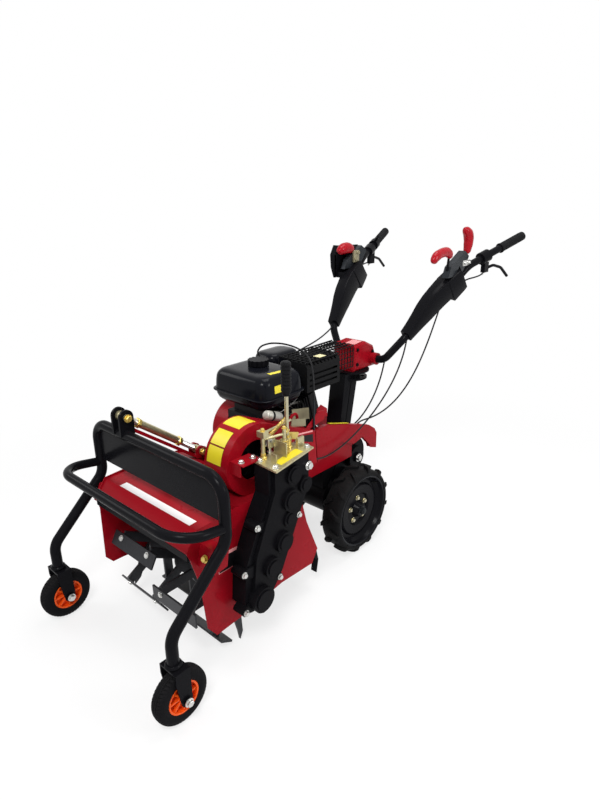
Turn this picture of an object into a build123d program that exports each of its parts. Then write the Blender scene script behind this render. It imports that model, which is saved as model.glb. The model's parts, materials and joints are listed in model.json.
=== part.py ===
from build123d import *
import math
import os

# Walking power weeder: front caster frame, covered rotor, side gear case, engine, two lug wheels, handlebar.
# Millimetres. X: the machine's left is +X. Y: forward is -Y. Z: up, floor at 0.
# The lengths below are taken from the caster swivels (Y = 0); everything moves by Y_MID when it is written.

# Overall
CASTER_R = 80.0
CASTER_W = 46.0
CASTER_TRAIL = 9.3
GRIP_END = (344.0, 1861.0, 1139.0)
GRIP_ROOT = (262.0, 1560.0, 1037.0)
GRIP_R = 18.0
GRIP_L = 140.0
GRIP_OVER = 4.0
GRIP_DY = (GRIP_END[1] - GRIP_ROOT[1]) / math.dist(GRIP_END, GRIP_ROOT)
Y_FRONT = CASTER_TRAIL - CASTER_R
Y_REAR = GRIP_END[1] + GRIP_OVER * GRIP_DY + GRIP_R * math.sqrt(1 - GRIP_DY**2)
Y_MID = (Y_FRONT + Y_REAR) / 2

# Clearances: running bores, seats between fixed pieces
RUN = 0.05
SEAT = 0.2

# Front frame tube
TUBE_R = 16.5
HOOP_X = 308.0
STEM_FOOT_Z = 2 * CASTER_R + 28
KNEE_Z = STEM_FOOT_Z + 76
HOOP_Y = 195.0
HOOP_BEND_Z = 450.0
HOOP_TOP_Z = 629.0
BEND_R = 60.0
BUMPER_R = 14.0
BUMPER_Y = 50.0
BUMPER_Z = 513.0
BUMPER_FOOT_Z = 490.0
BUMPER_BEND_R = 85.0
PANEL_T = 3.0
PANEL_FOOT_Z = 503.0

# Top link and its brace, beside the middle
LINK_X = -150.0
LINK_FRONT = (LINK_X, HOOP_Y + 4, 686.0)
LINK_REAR = (LINK_X, 465.0, 486.0)
LINK_BOLT_R = 6.0
LINK_ROD_R = 9.0
BRACE_DROP = 24.0
EAR_T = 8.0
EAR_GAP = 32.0
EAR_R = 24.0

# Caster fork and wheel
STEM_PIN_R = 8.0
STEM_PIN_L = 55.0
CROWN_Z = STEM_FOOT_Z - 8
CROWN_T = 5.0
CHEEK_T = 4.0
CHEEK_GAP = 30.0
CHEEK_TOP_R = 22.5
CHEEK_TOP_Z = CASTER_R + 72
CHEEK_FOOT_R = 17.0
AXLE_R = 5.0
CASTER_RIM_R = 47.0
CASTER_HUB_R = 13.0
CASTER_RIBS = 8

# Hood over the rotor: outline of its top from the front lip to the rear edge, as (y, z)
HOOD_X = 230.0
SHEET = 3.0
DECK_Z = 420.0
HOOD_TOP = [(123, 409), (123, 413), (162, 464), (300, 472), (455, 458), (470, DECK_Z), (560, DECK_Z),
            (596, 285), (650, 165)]
LIP_FOOT_Z = 388.0
ROTOR_Y = 320.0
ROTOR_Z = 190.0
ROTOR_R = 184.0
JOURNAL_R = 15.0
ROTOR_HALF = 216.0
BAR_W = 46.0
BAR_T = 6.0
BAR_LAG = 17.0
BAR_FACE = ROTOR_R - 5
BAR_COUNT = 6

# Gear case
CASE_X0 = HOOD_X + SHEET
CASE_X1 = 290.0
PLATE_Z = 590.0
PLATE_T = 5.0

# Belt drive and its guard
IN_Y = 419.0
IN_Z = 568.0
IN_R = 78.0
CRANK_Y = 640.0
CRANK_Z = 531.0
CRANK_PULLEY_R = 38.0
BELT_T = 8.0
BELT_X0 = 112.0
BELT_X1 = 144.0
GUARD_X0 = 92.0
GUARD_X1 = 190.0
GUARD_R = 111.0
GUARD_TOP = (692.0, 575.0)
GUARD_LOW = (702.0, 455.0)
GUARD_T = 2.5
GUARD_HOLE_R = 62.0

# Engine
BASE_Z = DECK_Z + 8.0
BLOCK_X0 = -90.0
BLOCK_X1 = 88.0
TANK = (-130.0, 112.0, 566.0, 752.0)
TANK_FLANGE_Z = 690.0
TANK_TOP_Z = 762.0
TANK_FOOT_Z = 648.0
CAP_AT = (-40.0, 665.0)
CAP_R = 36.0

# Rear wheels
WHEEL_X = 180.8
WHEEL_Y = 942.7
WHEEL_Z = 172.4
TYRE_R = 160.0
LUG_H = 12.4
LUG_PAIRS = 12
TYRE_W = 81.0
RIM_R = 140.0
AXLE_SHAFT_R = 15.0

# Transmission, column and handlebar
FINAL_Y = 1062.0
FINAL_Z = 318.0
CHASSIS_END = 1000.0
COLUMN_FOOT_Z = 400.0
COLUMN_TOP_Z = 652.0
FLANGE_AT = (8.0, 1128.0)
FLANGE_R = 72.0
HANDLE_R = 15.0
HANDLE_CROSS = (110.0, 1205.0, 692.0)
HANDLE_RISE = (176.0, 1240.0, 783.0)


def bx(x0, x1, y0, y1, z0, z1):
    size = (abs(x1 - x0), abs(y1 - y0), abs(z1 - z0))
    mid = ((x0 + x1) / 2, (y0 + y1) / 2, (z0 + z1) / 2)
    return Pos(*mid) * Box(*size)


def cyl_x(x0, x1, y, z, r):
    return Pos((x0 + x1) / 2, y, z) * Rot(0, 90, 0) * Cylinder(r, abs(x1 - x0))


def cyl_z(x, y, z0, z1, r):
    return Pos(x, y, (z0 + z1) / 2) * Cylinder(r, abs(z1 - z0))


def slab_x(points, x0, x1):
    """A plate square to X: the (y, z) outline pushed from x0 to x1."""
    plane = Plane(origin=(min(x0, x1), 0, 0), x_dir=(0, 1, 0), z_dir=(1, 0, 0))
    face = make_face(Polyline(*points, close=True))
    return extrude(plane * face, abs(x1 - x0))


def tube(points, radii, r):
    """A round bar along a bent line."""
    path = FilletPolyline(*points, radius=radii) if radii else Polyline(*points)
    start = Vector(*points[0])
    way = (Vector(*points[1]) - start).normalized()
    return sweep(Plane(origin=start, z_dir=way) * Circle(r), path=path)


def rod(a, b, r):
    start = Vector(*a)
    way = Vector(*b) - start
    return extrude(Plane(origin=start, z_dir=way.normalized()) * Circle(r), way.length)


def hull_x(c0, r0, c1, r1, x0, x1):
    """Two discs joined by their outer tangents, square to X."""
    dy, dz = c1[0] - c0[0], c1[1] - c0[1]
    d = math.hypot(dy, dz)
    base = math.atan2(dz, dy)
    lean = math.acos((r0 - r1) / d)
    pts = []
    for c, r, sign in ((c0, r0, 1), (c1, r1, 1), (c1, r1, -1), (c0, r0, -1)):
        a = base + sign * lean
        pts.append((c[0] + r * math.cos(a), c[1] + r * math.sin(a)))
    body = slab_x(pts, x0, x1)
    return body + cyl_x(x0, x1, c0[0], c0[1], r0) + cyl_x(x0, x1, c1[0], c1[1], r1)


def touch_point(c, r, p, sign):
    """Where the tangent from p meets the circle, above (+1) or below (-1) the centre line."""
    dy, dz = p[0] - c[0], p[1] - c[1]
    a = math.atan2(dz, dy) + sign * math.acos(r / math.hypot(dy, dz))
    return (c[0] + r * math.cos(a), c[1] + r * math.sin(a))


def bend_radii(points):
    """Arcs as large as the runs allow: 0.45 of the shorter run at each corner."""
    radii = []
    for a, b, c in zip(points, points[1:], points[2:]):
        u = Vector(*b) - Vector(*a)
        v = Vector(*c) - Vector(*b)
        half = math.radians(u.get_angle(v)) / 2
        radii.append(0.45 * min(u.length, v.length) / math.tan(half))
    return radii


def cable_line(poles, runs):
    """Corners along a smooth route that leaves its first pole and arrives at its last one."""
    n = len(poles) - 1
    points = []
    for i in range(runs + 1):
        t = i / runs
        weights = [math.comb(n, k) * (1 - t) ** (n - k) * t**k for k in range(n + 1)]
        points.append(tuple(sum(w * p[axis] for w, p in zip(weights, poles)) for axis in range(3)))
    return points


def biggest(shape):
    return max(shape.solids(), key=lambda s: s.volume)


def mirror_x(shape):
    return mirror(shape, about=Plane.YZ)


def write(name, *solids):
    placed = []
    for s in solids:
        placed.append(Pos(0, -Y_MID, 0) * s)
    shape = placed[0] if len(placed) == 1 else Compound(children=placed)
    shape.label = name
    export_step(shape, f"parts/{name}.step")


os.makedirs("parts", exist_ok=True)

# Front frame: hoop with its legs, bumper loop and the two ears of the top link
leg = [(HOOP_X, 0, STEM_FOOT_Z), (HOOP_X, 0, KNEE_Z), (HOOP_X, HOOP_Y, HOOP_BEND_Z), (HOOP_X, HOOP_Y, HOOP_TOP_Z)]
hoop_line = leg + [(-x, y, z) for x, y, z in reversed(leg)]
hoop_radii = [BEND_R] * (len(hoop_line) - 2)
hoop = tube(hoop_line, hoop_radii, TUBE_R)
bumper_line = [(HOOP_X, HOOP_Y, BUMPER_FOOT_Z), (HOOP_X, BUMPER_Y, BUMPER_Z)]
bumper_line += [(-x, y, z) for x, y, z in reversed(bumper_line)]
hoop += tube(bumper_line, [BUMPER_BEND_R, BUMPER_BEND_R], BUMPER_R)
for side in (-1, 1):
    x0 = LINK_X + side * EAR_GAP / 2
    x1 = x0 + side * EAR_T
    hoop += bx(x0, x1, LINK_FRONT[1] - EAR_R, LINK_FRONT[1] + EAR_R, HOOP_TOP_Z, LINK_FRONT[2])
    hoop += cyl_x(x0, x1, LINK_FRONT[1], LINK_FRONT[2], EAR_R)
hoop -= cyl_x(LINK_X - 40, LINK_X + 40, LINK_FRONT[1], LINK_FRONT[2], LINK_BOLT_R + SEAT)
for side in (-1, 1):
    hoop -= cyl_z(side * HOOP_X, 0, STEM_FOOT_Z - 1, STEM_FOOT_Z + STEM_PIN_L + 3, STEM_PIN_R + RUN)
hoop_seat = tube(hoop_line, hoop_radii, TUBE_R + SEAT)
write("hoop_frame", hoop)

panel = bx(-HOOP_X, HOOP_X, HOOP_Y - PANEL_T / 2, HOOP_Y + PANEL_T / 2, PANEL_FOOT_Z, HOOP_TOP_Z) - hoop_seat
write("front_panel", biggest(panel))

# Top link: threaded rod with its turning sleeve, an eye and a cross bolt at each end
link_way = Vector(*LINK_REAR) - Vector(*LINK_FRONT)
link_dir = link_way.normalized()
link_from = Vector(*LINK_FRONT)
link = rod(link_from + link_dir * 8, link_from + link_dir * (link_way.length - 8), LINK_ROD_R)
link += rod(link_from + link_dir * 70, link_from + link_dir * 230, LINK_ROD_R + 3.5)
for at in (LINK_FRONT, LINK_REAR):
    link += cyl_x(LINK_X - EAR_GAP / 2 + 1, LINK_X + EAR_GAP / 2 - 1, at[1], at[2], 14)
    link += cyl_x(LINK_X - 34, LINK_X + 34, at[1], at[2], LINK_BOLT_R)
    for side in (-1, 1):
        link += cyl_x(LINK_X + side * (EAR_GAP / 2 + EAR_T), LINK_X + side * 32, at[1], at[2], 11)
write("top_link", link)

# Caster forks and wheels
for name, sx in (("left", 1), ("right", -1)):
    x = sx * HOOP_X
    cheek_y = CASTER_TRAIL - 6
    reach = CHEEK_GAP + CHEEK_T
    fork = bx(x - reach, x + reach, cheek_y - CHEEK_TOP_R, cheek_y + CHEEK_TOP_R, CROWN_Z - CROWN_T, CROWN_Z)
    fork += cyl_z(x, 0, CROWN_Z, CROWN_Z + 6, TUBE_R + 4)
    fork += cyl_z(x, 0, CROWN_Z, STEM_FOOT_Z + STEM_PIN_L, STEM_PIN_R)
    for side in (-1, 1):
        x0 = x + side * CHEEK_GAP
        x1 = x + side * reach
        cheek = bx(x0, x1, cheek_y - CHEEK_TOP_R, cheek_y + CHEEK_TOP_R, CHEEK_TOP_Z, CROWN_Z - 2)
        cheek += hull_x((cheek_y, CHEEK_TOP_Z), CHEEK_TOP_R, (CASTER_TRAIL, CASTER_R), CHEEK_FOOT_R, x0, x1)
        fork += cheek
        fork += cyl_x(x1, x + side * 41, CASTER_TRAIL, CASTER_R, 9)
    fork += cyl_x(x - 40, x + 40, CASTER_TRAIL, CASTER_R, AXLE_R)
    write(f"caster_fork_{name}", fork)

    # tyre section as (distance from its middle, radius), in flats round the wheel
    half = CASTER_W / 2
    rings = [(-half, CASTER_R - 20), (-half + 4, CASTER_R - 8), (-half + 11, CASTER_R), (half - 11, CASTER_R)]
    rings += [(half - 4, CASTER_R - 8), (half, CASTER_R - 20)]
    sections = []
    for dx, r in rings:
        plane = Plane(origin=(x + dx, CASTER_TRAIL, CASTER_R), x_dir=(0, 1, 0), z_dir=(1, 0, 0))
        sections.append(plane * RegularPolygon(r, 36))
    tyre = loft(sections, ruled=True)
    tyre -= cyl_x(x - half - 1, x + half + 1, CASTER_TRAIL, CASTER_R, CASTER_RIM_R)
    write(f"caster_tyre_{name}", tyre)

    rim = cyl_x(x - 19, x + 19, CASTER_TRAIL, CASTER_R, CASTER_RIM_R - SEAT)
    for side in (-1, 1):
        rim -= cyl_x(x + side * 3, x + side * 20, CASTER_TRAIL, CASTER_R, CASTER_RIM_R - 5)
    spin = Pos(x, CASTER_TRAIL, CASTER_R)
    for i in range(CASTER_RIBS):
        rim += spin * Rot(i * 360 / CASTER_RIBS, 0, 0) * Pos(0, 0, CASTER_RIM_R / 2 + 4) * Box(32, 5, CASTER_RIM_R - 12)
    rim += cyl_x(x - 27, x + 27, CASTER_TRAIL, CASTER_R, CASTER_HUB_R)
    rim -= cyl_x(x - 30, x + 30, CASTER_TRAIL, CASTER_R, AXLE_R + RUN)
    write(f"caster_rim_{name}", rim)

# Hood over the rotor: bent top sheet, side plates, front lip, and the drag flap with its two points
under = [(y, z - SHEET) for y, z in HOOD_TOP[1:-3]]
under[0] = (HOOD_TOP[0][0] + SHEET, HOOD_TOP[1][1] - 1)
inner = [(HOOD_TOP[0][0] + SHEET, HOOD_TOP[0][1])] + under
inner += [(HOOD_TOP[-3][0] - 2.5, DECK_Z - SHEET), (HOOD_TOP[-2][0] - SHEET, HOOD_TOP[-2][1] - 1)]
inner.append((HOOD_TOP[-1][0] - SHEET, HOOD_TOP[-1][1] - 1))
write("hood_top", slab_x(HOOD_TOP + list(reversed(inner)), -HOOD_X, HOOD_X))
lip = bx(-HOOD_X, HOOD_X, HOOD_TOP[0][0] - 1, HOOD_TOP[0][0] + 7, LIP_FOOT_Z, HOOD_TOP[0][1])
flap = slab_x([(647, 164), (650, 165), (664, 110), (659, 110)], -HOOD_X, HOOD_X)
for side in (-1, 1):
    flap += slab_x([(659, 110), (664, 110), (655, 61), (652, 61)], side * (HOOD_X - 24), side * HOOD_X)
write("hood_lip", lip, flap)

# Side plates follow the top sheet; the left one is cut away in front for the leg
rear_edge = [(655, 160), (600, 290), (563, DECK_Z + 6), (478, DECK_Z + 6), (459, 463), (300, 477), (160, 469)]
near_plate = [(119, 415), (130, 390), (148, 326), (162, 243), (171, 139), (202, 95), (321, 101), (478, 121)]
near_plate += [(627, 114)] + rear_edge
far_plate = [(119, 415), (130, 371), (126, 189), (149, 161), (188, 160), (321, 150), (478, 140)]
far_plate += [(627, 130)] + rear_edge
side_left = slab_x(near_plate, HOOD_X, HOOD_X + SHEET)
side_left -= cyl_x(HOOD_X - 1, HOOD_X + SHEET + 1, ROTOR_Y, ROTOR_Z, JOURNAL_R + 4)
side_right = slab_x(far_plate, -HOOD_X - SHEET, -HOOD_X)
side_right += cyl_x(-HOOD_X - 12, -HOOD_X - SHEET, ROTOR_Y, ROTOR_Z, 52)
side_right += cyl_x(-HOOD_X - 34, -HOOD_X - 12, ROTOR_Y, ROTOR_Z, 36)
side_right -= cyl_x(-HOOD_X - 24, -HOOD_X + 1, ROTOR_Y, ROTOR_Z, JOURNAL_R + RUN)

# Corner gussets that carry the legs
gusset_line = [(150, 366), (196, 372), (204, 420), (168, 424)]
for sx in (1, -1):
    gusset = slab_x(gusset_line, sx * (HOOD_X + SHEET), sx * (HOOP_X - 2)) - hoop_seat
    if sx > 0:
        side_left = biggest(side_left + gusset)
    else:
        side_right = biggest(side_right + gusset)
write("hood_side_left", side_left)
write("hood_side_right", side_right)

# Rotor: shaft with hub plates and radial arms, flat bars along the shaft, an L-shaped tine at each end
shaft = cyl_x(-222, 222, ROTOR_Y, ROTOR_Z, 28)
shaft += cyl_x(-HOOD_X - 22, -221, ROTOR_Y, ROTOR_Z, JOURNAL_R)
shaft += cyl_x(221, HOOD_X + 30, ROTOR_Y, ROTOR_Z, JOURNAL_R)
bars = []
for x0, x1, turn in ((-ROTOR_HALF, 6.0, 31.0), (10.0, ROTOR_HALF, 1.0)):
    for x in (x0 + 40, x1 - 40):
        shaft += cyl_x(x - 4, x + 4, ROTOR_Y, ROTOR_Z, 62)
    for i in range(BAR_COUNT):
        spin = Pos(0, ROTOR_Y, ROTOR_Z) * Rot(turn + i * 360 / BAR_COUNT, 0, 0)
        for x in (x0 + 40, x1 - 40):
            shaft += spin * bx(x - 4, x + 4, -(BAR_FACE - BAR_T), -20, -16, 16)
        foot = -BAR_W / 2 - BAR_LAG
        bars.append(spin * bx(x0, x1, -BAR_FACE, -(BAR_FACE - BAR_T), foot, foot + BAR_W))

# end tines, each a swept-back blade in the plane of the shaft's end
blade = [(-20, -12), (-95, -20), (-150, -44), (-178, -42), (-150, -26), (-98, 10), (-20, 16)]
for x0, x1, turns in ((214, 222, (70.0, 190.0, 310.0)), (-222, -214, (40.0, 160.0, 280.0))):
    for turn in turns:
        shaft += Pos(0, ROTOR_Y, ROTOR_Z) * Rot(turn, 0, 0) * slab_x(blade, x0, x1)
write("rotor_shaft", biggest(shaft))
write("rotor_bars", *bars)

# Gear case on the hood's left plate: a casting that steps out over its shafts
case_line = [(374, PLATE_Z), (374, 500), (330, 425), (276, 312), (266, 185), (288, 152), (347, 147)]
case_line += [(384, 182), (424, 232), (500, 384), (545, 470), (545, PLATE_Z)]
step_line = [(388, 585), (388, 512), (306, 330), (292, 212), (335, 165), (365, 195), (470, 385), (530, 480), (530, 585)]
case = slab_x(case_line, CASE_X0, CASE_X1) + slab_x(step_line, CASE_X1, CASE_X1 + 12)
# bosses over the shafts: y, z, radius, outer face
CASE_BOSSES = [(ROTOR_Y - 2, ROTOR_Z + 3, 40, 318), (364, 277, 32, 314), (415, 338, 33, 314), (445, 402, 26, 308),
               (450, 463, 34, 312), (464, 539, 30, 310), (512, 490, 26, 310)]
for y, z, r, x1 in CASE_BOSSES:
    case += cyl_x(CASE_X0 + 20, x1, y, z, r)
    case += cyl_x(x1 - 1, x1 + 4, y, z, r - 9)
# bolt ears round the edge: centre, and the place in the casting that they grow from
CASE_EARS = [((318, 425), (360, 410)), ((262, 300), (305, 290)), ((262, 170), (305, 185)), ((400, 560), (420, 540)),
             ((404, 216), (380, 240)), ((492, 392), (460, 400))]
for tip, root in CASE_EARS:
    case += hull_x(root, 20, tip, 12, CASE_X0 + 20, CASE_X1 + 6)
case -= cyl_x(CASE_X0 - 1, HOOD_X + 34, ROTOR_Y, ROTOR_Z, JOURNAL_R + RUN)
write("gear_case", case)

# Shift plate on the case, with the posts, yokes and rods of the linkage
top = PLATE_Z + PLATE_T
LEVER_AT = (242.0, 503.0)
plate_line = [(234, 371), (332, 364), (300, 557), (230, 560)]
plate = extrude(Pos(0, 0, PLATE_Z) * make_face(Polyline(*plate_line, close=True)), PLATE_T)
plate += cyl_z(242, 403, top, top + 72, 6) + bx(228, 256, 393, 413, top + 66, top + 84)
plate += cyl_z(262, 470, top, top + 42, 11) + cyl_z(262, 470, top + 42, top + 76, 6)
plate += rod((242, 403, top + 76), (198, 566, top + 58), 4) + rod((242, 403, top + 58), (262, 470, top + 60), 4)
plate += bx(240, 290, 448, 452, top, top + 44) + bx(276, 296, 400, 404, top, top + 26)
plate += cyl_z(LEVER_AT[0], LEVER_AT[1], top, top + 34, 12)
plate += bx(262, 270, 520, 548, top, top + 30)
write("shift_plate", plate)
lever = cyl_z(LEVER_AT[0], LEVER_AT[1], top + 34, 850, 6)
write("gear_lever", lever)


def guard_form(t, x0, x1):
    """Outline of the belt guard, drawn in by t."""
    top_end = (GUARD_TOP[0] - t, GUARD_TOP[1] - t)
    low_end = (GUARD_LOW[0] - t, GUARD_LOW[1] + t)
    centre = (IN_Y, IN_Z)
    r = GUARD_R - t
    outline = [touch_point(centre, r, top_end, 1), top_end, low_end, touch_point(centre, r, low_end, -1), centre]
    return slab_x(outline, x0, x1) + cyl_x(x0, x1, IN_Y, IN_Z, r)


# Belt guard: a deep cover, open to the engine, with a round hole over the input shaft
guard = guard_form(0, GUARD_X0, GUARD_X1) - guard_form(GUARD_T, GUARD_X0 - 1, GUARD_X1 - GUARD_T)
guard -= cyl_x(GUARD_X1 - 5, GUARD_X1 + 1, IN_Y, IN_Z, GUARD_HOLE_R)
hood_block = slab_x(HOOD_TOP + [(400, 165), (400, 364)], -HOOD_X, HOOD_X)
guard -= hood_block
# its arm to the gear case: a folded bracket
guard += bx(GUARD_X1, 244, 322, 394, top, top + 3)
guard += bx(GUARD_X1, CASE_X0 - 1, 322, 325, top - 36, top + 3)
# its rear arm for the cable's adjuster
guard += slab_x([(689, 560), (790, 575), (795, 608), (760, 612), (700, 574)], 146, 149)
write("belt_guard", biggest(guard))

pulley_in = cyl_x(BELT_X0, BELT_X1, IN_Y, IN_Z, IN_R)
pulley_in -= cyl_x(BELT_X0 + 20, BELT_X1 + 1, IN_Y, IN_Z, IN_R - 12)
pulley_in += cyl_x(BELT_X0 + 5, CASE_X0, IN_Y, IN_Z, 14) + cyl_x(BELT_X0 + 5, BELT_X1, IN_Y, IN_Z, 26)
pulley_crank = cyl_x(BELT_X0, BELT_X1, CRANK_Y, CRANK_Z, CRANK_PULLEY_R)
pulley_crank += cyl_x(BLOCK_X1 + 4, BELT_X0 + 5, CRANK_Y, CRANK_Z, 12)
write("belt_pulleys", pulley_in, pulley_crank)
belt = hull_x((IN_Y, IN_Z), IN_R + SEAT + BELT_T, (CRANK_Y, CRANK_Z), CRANK_PULLEY_R + SEAT + BELT_T, BELT_X0 + 2, BELT_X1 - 2)
belt -= hull_x((IN_Y, IN_Z), IN_R + SEAT, (CRANK_Y, CRANK_Z), CRANK_PULLEY_R + SEAT, BELT_X0 - 1, BELT_X1 + 1)
write("drive_belt", belt)

# Engine: crankcase with its side cover, a finned cylinder leaning to the rear, and the head with its cover
block = bx(BLOCK_X0, BLOCK_X1 - 8, 562, 716, BASE_Z + 12, 620) + bx(-88, 90, 548, 756, BASE_Z, BASE_Z + 14)
block += cyl_x(BLOCK_X1 - 10, BLOCK_X1, CRANK_Y, CRANK_Z, 72) + cyl_x(BLOCK_X1 - 5, BLOCK_X1 + 4, CRANK_Y, CRANK_Z, 34)
FIN_COUNT = 9
FIN_PITCH = 12.0
CYLINDER = Pos(0, 716, 540) * Rot(18, 0, 0)
block += CYLINDER * bx(-56, 56, -30, 130, -52, 58)
for i in range(FIN_COUNT):
    y = 8 + i * FIN_PITCH
    block += CYLINDER * bx(-74, 74, y, y + 3, -72, 78)
block += CYLINDER * bx(-64, 64, 118, 150, -62, 66)
for y in (575, 690):
    block += bx(-70, 70, y, y + 16, 619, TANK_FOOT_Z)
write("engine_block", block)

# Recoil starter: round cover with vent slots
shroud = cyl_x(-152, BLOCK_X0, CRANK_Y, CRANK_Z, 100) + cyl_x(-168, -152, CRANK_Y, CRANK_Z, 78)
shroud += bx(-150, BLOCK_X0, CRANK_Y, 714, 520, 640)
VENTS = 12
for i in range(VENTS):
    shroud -= Pos(-160, CRANK_Y, CRANK_Z) * Rot(i * 360 / VENTS, 0, 0) * Pos(0, 0, 52) * Box(20, 9, 34)
write("recoil_shroud", shroud)

# Fuel tank: two drawn shells on a flange, drawn in towards the top and the foot
tx, ty = (TANK[0] + TANK[1]) / 2, (TANK[2] + TANK[3]) / 2
tw, td = TANK[1] - TANK[0], TANK[3] - TANK[2]


def tank_ring(z, grow, corner):
    return Pos(tx, ty, z) * RectangleRounded(tw + 2 * grow, td + 2 * grow, corner)


tank = loft([tank_ring(TANK_FLANGE_Z, 0, 26), tank_ring(TANK_TOP_Z - 18, -3, 26), tank_ring(TANK_TOP_Z - 5, -10, 24),
             tank_ring(TANK_TOP_Z, -22, 20)], ruled=True)
tank += loft([tank_ring(TANK_FOOT_Z, -20, 20), tank_ring(TANK_FOOT_Z + 14, -5, 26), tank_ring(TANK_FLANGE_Z, 0, 26)],
             ruled=True)
tank += extrude(tank_ring(TANK_FLANGE_Z - 2, 8, 30), 4)
tank += cyl_z(CAP_AT[0], CAP_AT[1], TANK_TOP_Z - 2, TANK_TOP_Z + 3, 24)
write("fuel_tank", tank)
cap = cyl_z(CAP_AT[0], CAP_AT[1], TANK_TOP_Z + 3, TANK_TOP_Z + 22, CAP_R)
CAP_FLUTES = 14
for i in range(CAP_FLUTES):
    a = 2 * math.pi * i / CAP_FLUTES
    cap -= cyl_z(CAP_AT[0] + CAP_R * math.cos(a), CAP_AT[1] + CAP_R * math.sin(a), TANK_TOP_Z + 2, TANK_TOP_Z + 24, 3.5)
write("fuel_cap", cap)

# Air cleaner with its elbow
air = extrude(Pos(-145, 850, 680) * RectangleRounded(110, 160, 22), 70)
air += extrude(Pos(-145, 850, 750) * RectangleRounded(110, 160, 22), 15, taper=30)
air += bx(-150, -75, 800, 850, 640, 681)
write("air_cleaner", air)

# Muffler, its louvred guard and the wire cage behind it
muffler = extrude(Pos(48, 854, 668) * RectangleRounded(76, 150, 24), 84)
muffler += cyl_z(20, 806, 600, 668, 17)
muffler = biggest(muffler - block)
write("muffler", muffler)
GUARD_BOX = (2.0, 94.0, 764.0, 944.0, 664.0, 766.0)
LOUVRES = 8
gx0, gx1, gy0, gy1, gz0, gz1 = GUARD_BOX
shell = bx(gx0, gx1, gy0, gy1, gz0, gz1)
shell = chamfer(shell.faces().sort_by(Axis.Z)[-1].edges().filter_by(Axis.Y), 12)
core = bx(gx0 + 2, gx1 - 2, gy0 + 2, gy1 - 2, gz0 - 1, gz1 - 2)
core = chamfer(core.faces().sort_by(Axis.Z)[-1].edges().filter_by(Axis.Y), 11)
cage = shell - core
pitch = (gy1 - gy0 - 24) / LOUVRES
for i in range(LOUVRES):
    y = gy0 + 12 + (i + 0.5) * pitch
    cage -= bx(gx1 - 44, gx1 + 1, y - pitch * 0.22, y + pitch * 0.22, gz1 - 10.5, gz1 + 1)
for z in (gz0 + 18, gz0 + 38, gz0 + 58):
    cage -= bx(gx1 - 3, gx1 + 1, gy0 + 14, gy1 - 14, z, z + 8)
WIRE = 2.4
CAGE_END = 1066.0
for i in range(8):
    y = gy1 - 1 + (CAGE_END - gy1) * i / 7
    cage += bx(gx1 - 30 - WIRE, gx1 - 30, y, y + WIRE, 688, 772)
    cage += bx(-44, gx1 - 30, y, y + WIRE, 772 - WIRE, 772)
for i in range(5):
    z = 688 + (772 - WIRE - 688) * i / 4
    cage += bx(gx1 - 30 - WIRE, gx1 - 30, gy1 - 1, CAGE_END + WIRE - 1, z, z + WIRE)
    x = -44 + (gx1 - 32.4 + 44) * i / 4
    cage += bx(x, x + WIRE, gy1 - 1, CAGE_END + WIRE - 1, 772 - WIRE, 772)
cage += bx(-44, gx1 - 30, gy1 - 3, gy1 - 0.5, 740, 772)
write("muffler_guard", biggest(cage - muffler))

# Chassis: deck with turned-down sides, front flange on the hood, ears of the top link and the red brace
chassis = bx(-115, 115, 474, CHASSIS_END, DECK_Z, BASE_Z) + bx(-HOOD_X, HOOD_X, 479, 530, DECK_Z, BASE_Z)
for side in (-1, 1):
    chassis += bx(side * 109, side * 115, 590, CHASSIS_END, 350, DECK_Z)
    x0 = LINK_X + side * EAR_GAP / 2
    x1 = x0 + side * EAR_T
    chassis += slab_x([(479, BASE_Z), (522, BASE_Z), (484, 496), (446, 496), (446, 464), (479, 464)], x0, x1)
    chassis += cyl_x(x0, x1, LINK_REAR[1], LINK_REAR[2], 18)
chassis -= cyl_x(LINK_X - 40, LINK_X + 40, LINK_REAR[1], LINK_REAR[2], LINK_BOLT_R + SEAT)
drop = Vector(0, link_dir.Z, -link_dir.Y) * BRACE_DROP
brace_from = link_from + drop + link_dir * 38
brace_to = link_from + drop + link_dir * link_way.length
brace = extrude(Plane(origin=brace_from, x_dir=(1, 0, 0), z_dir=link_dir) * Rectangle(22, 11), (brace_to - brace_from).length)
for at in (brace_from + link_dir * 6, brace_to - link_dir * 4):
    brace += cyl_x(LINK_X - EAR_GAP / 2, LINK_X + EAR_GAP / 2, at.Y, at.Z, 5)
write("chassis", biggest(chassis), brace)

# Frame horns over the wheels: box sections, open below, with a hook at the rear
horn_line = [(778, 409), (764, 536), (816, 537), (841, 534), (987, 492), (1089, 458), (1128, 432), (1144, 408)]
horn_line += [(1144, 343), (1102, 358), (1093, 377), (1048, 420), (991, 409), (910, 444)]
horns = []
for side in (-1, 1):
    horn = slab_x(horn_line, side * 115, side * 131)
    horn -= Pos(0, 0, -SHEET) * slab_x(horn_line, side * 118, side * 128)
    horn += slab_x([(770, 400), (770, 460), (CHASSIS_END, 440), (CHASSIS_END, 400)], side * 115, side * 118)
    horns.append(horn)
write("fenders", *horns)

# Transmission: casting from the axle up to the column's foot, with flanges and axle tubes
trans = hull_x((WHEEL_Y, WHEEL_Z + 8), 66, (FINAL_Y, FINAL_Z), 80, -72, 72)
trans += bx(-108.8, 108.8, 880, CHASSIS_END, 350, DECK_Z) + bx(-40, 50, 1008, 1092, 330, COLUMN_FOOT_Z)
trans += bx(-70, 70, 880, 1000, 240, 360)
for x1, y, z, r in ((96, FINAL_Y, FINAL_Z, 46), (104, FINAL_Y, FINAL_Z, 20), (84, 1000, 246, 40), (132, WHEEL_Y, WHEEL_Z, 34)):
    trans += cyl_x(-x1, x1, y, z, r)
for side in (-1, 1):
    trans -= cyl_x(side * 71, side * 133, WHEEL_Y, WHEEL_Z, AXLE_SHAFT_R + RUN)
write("transmission_case", trans)

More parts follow.
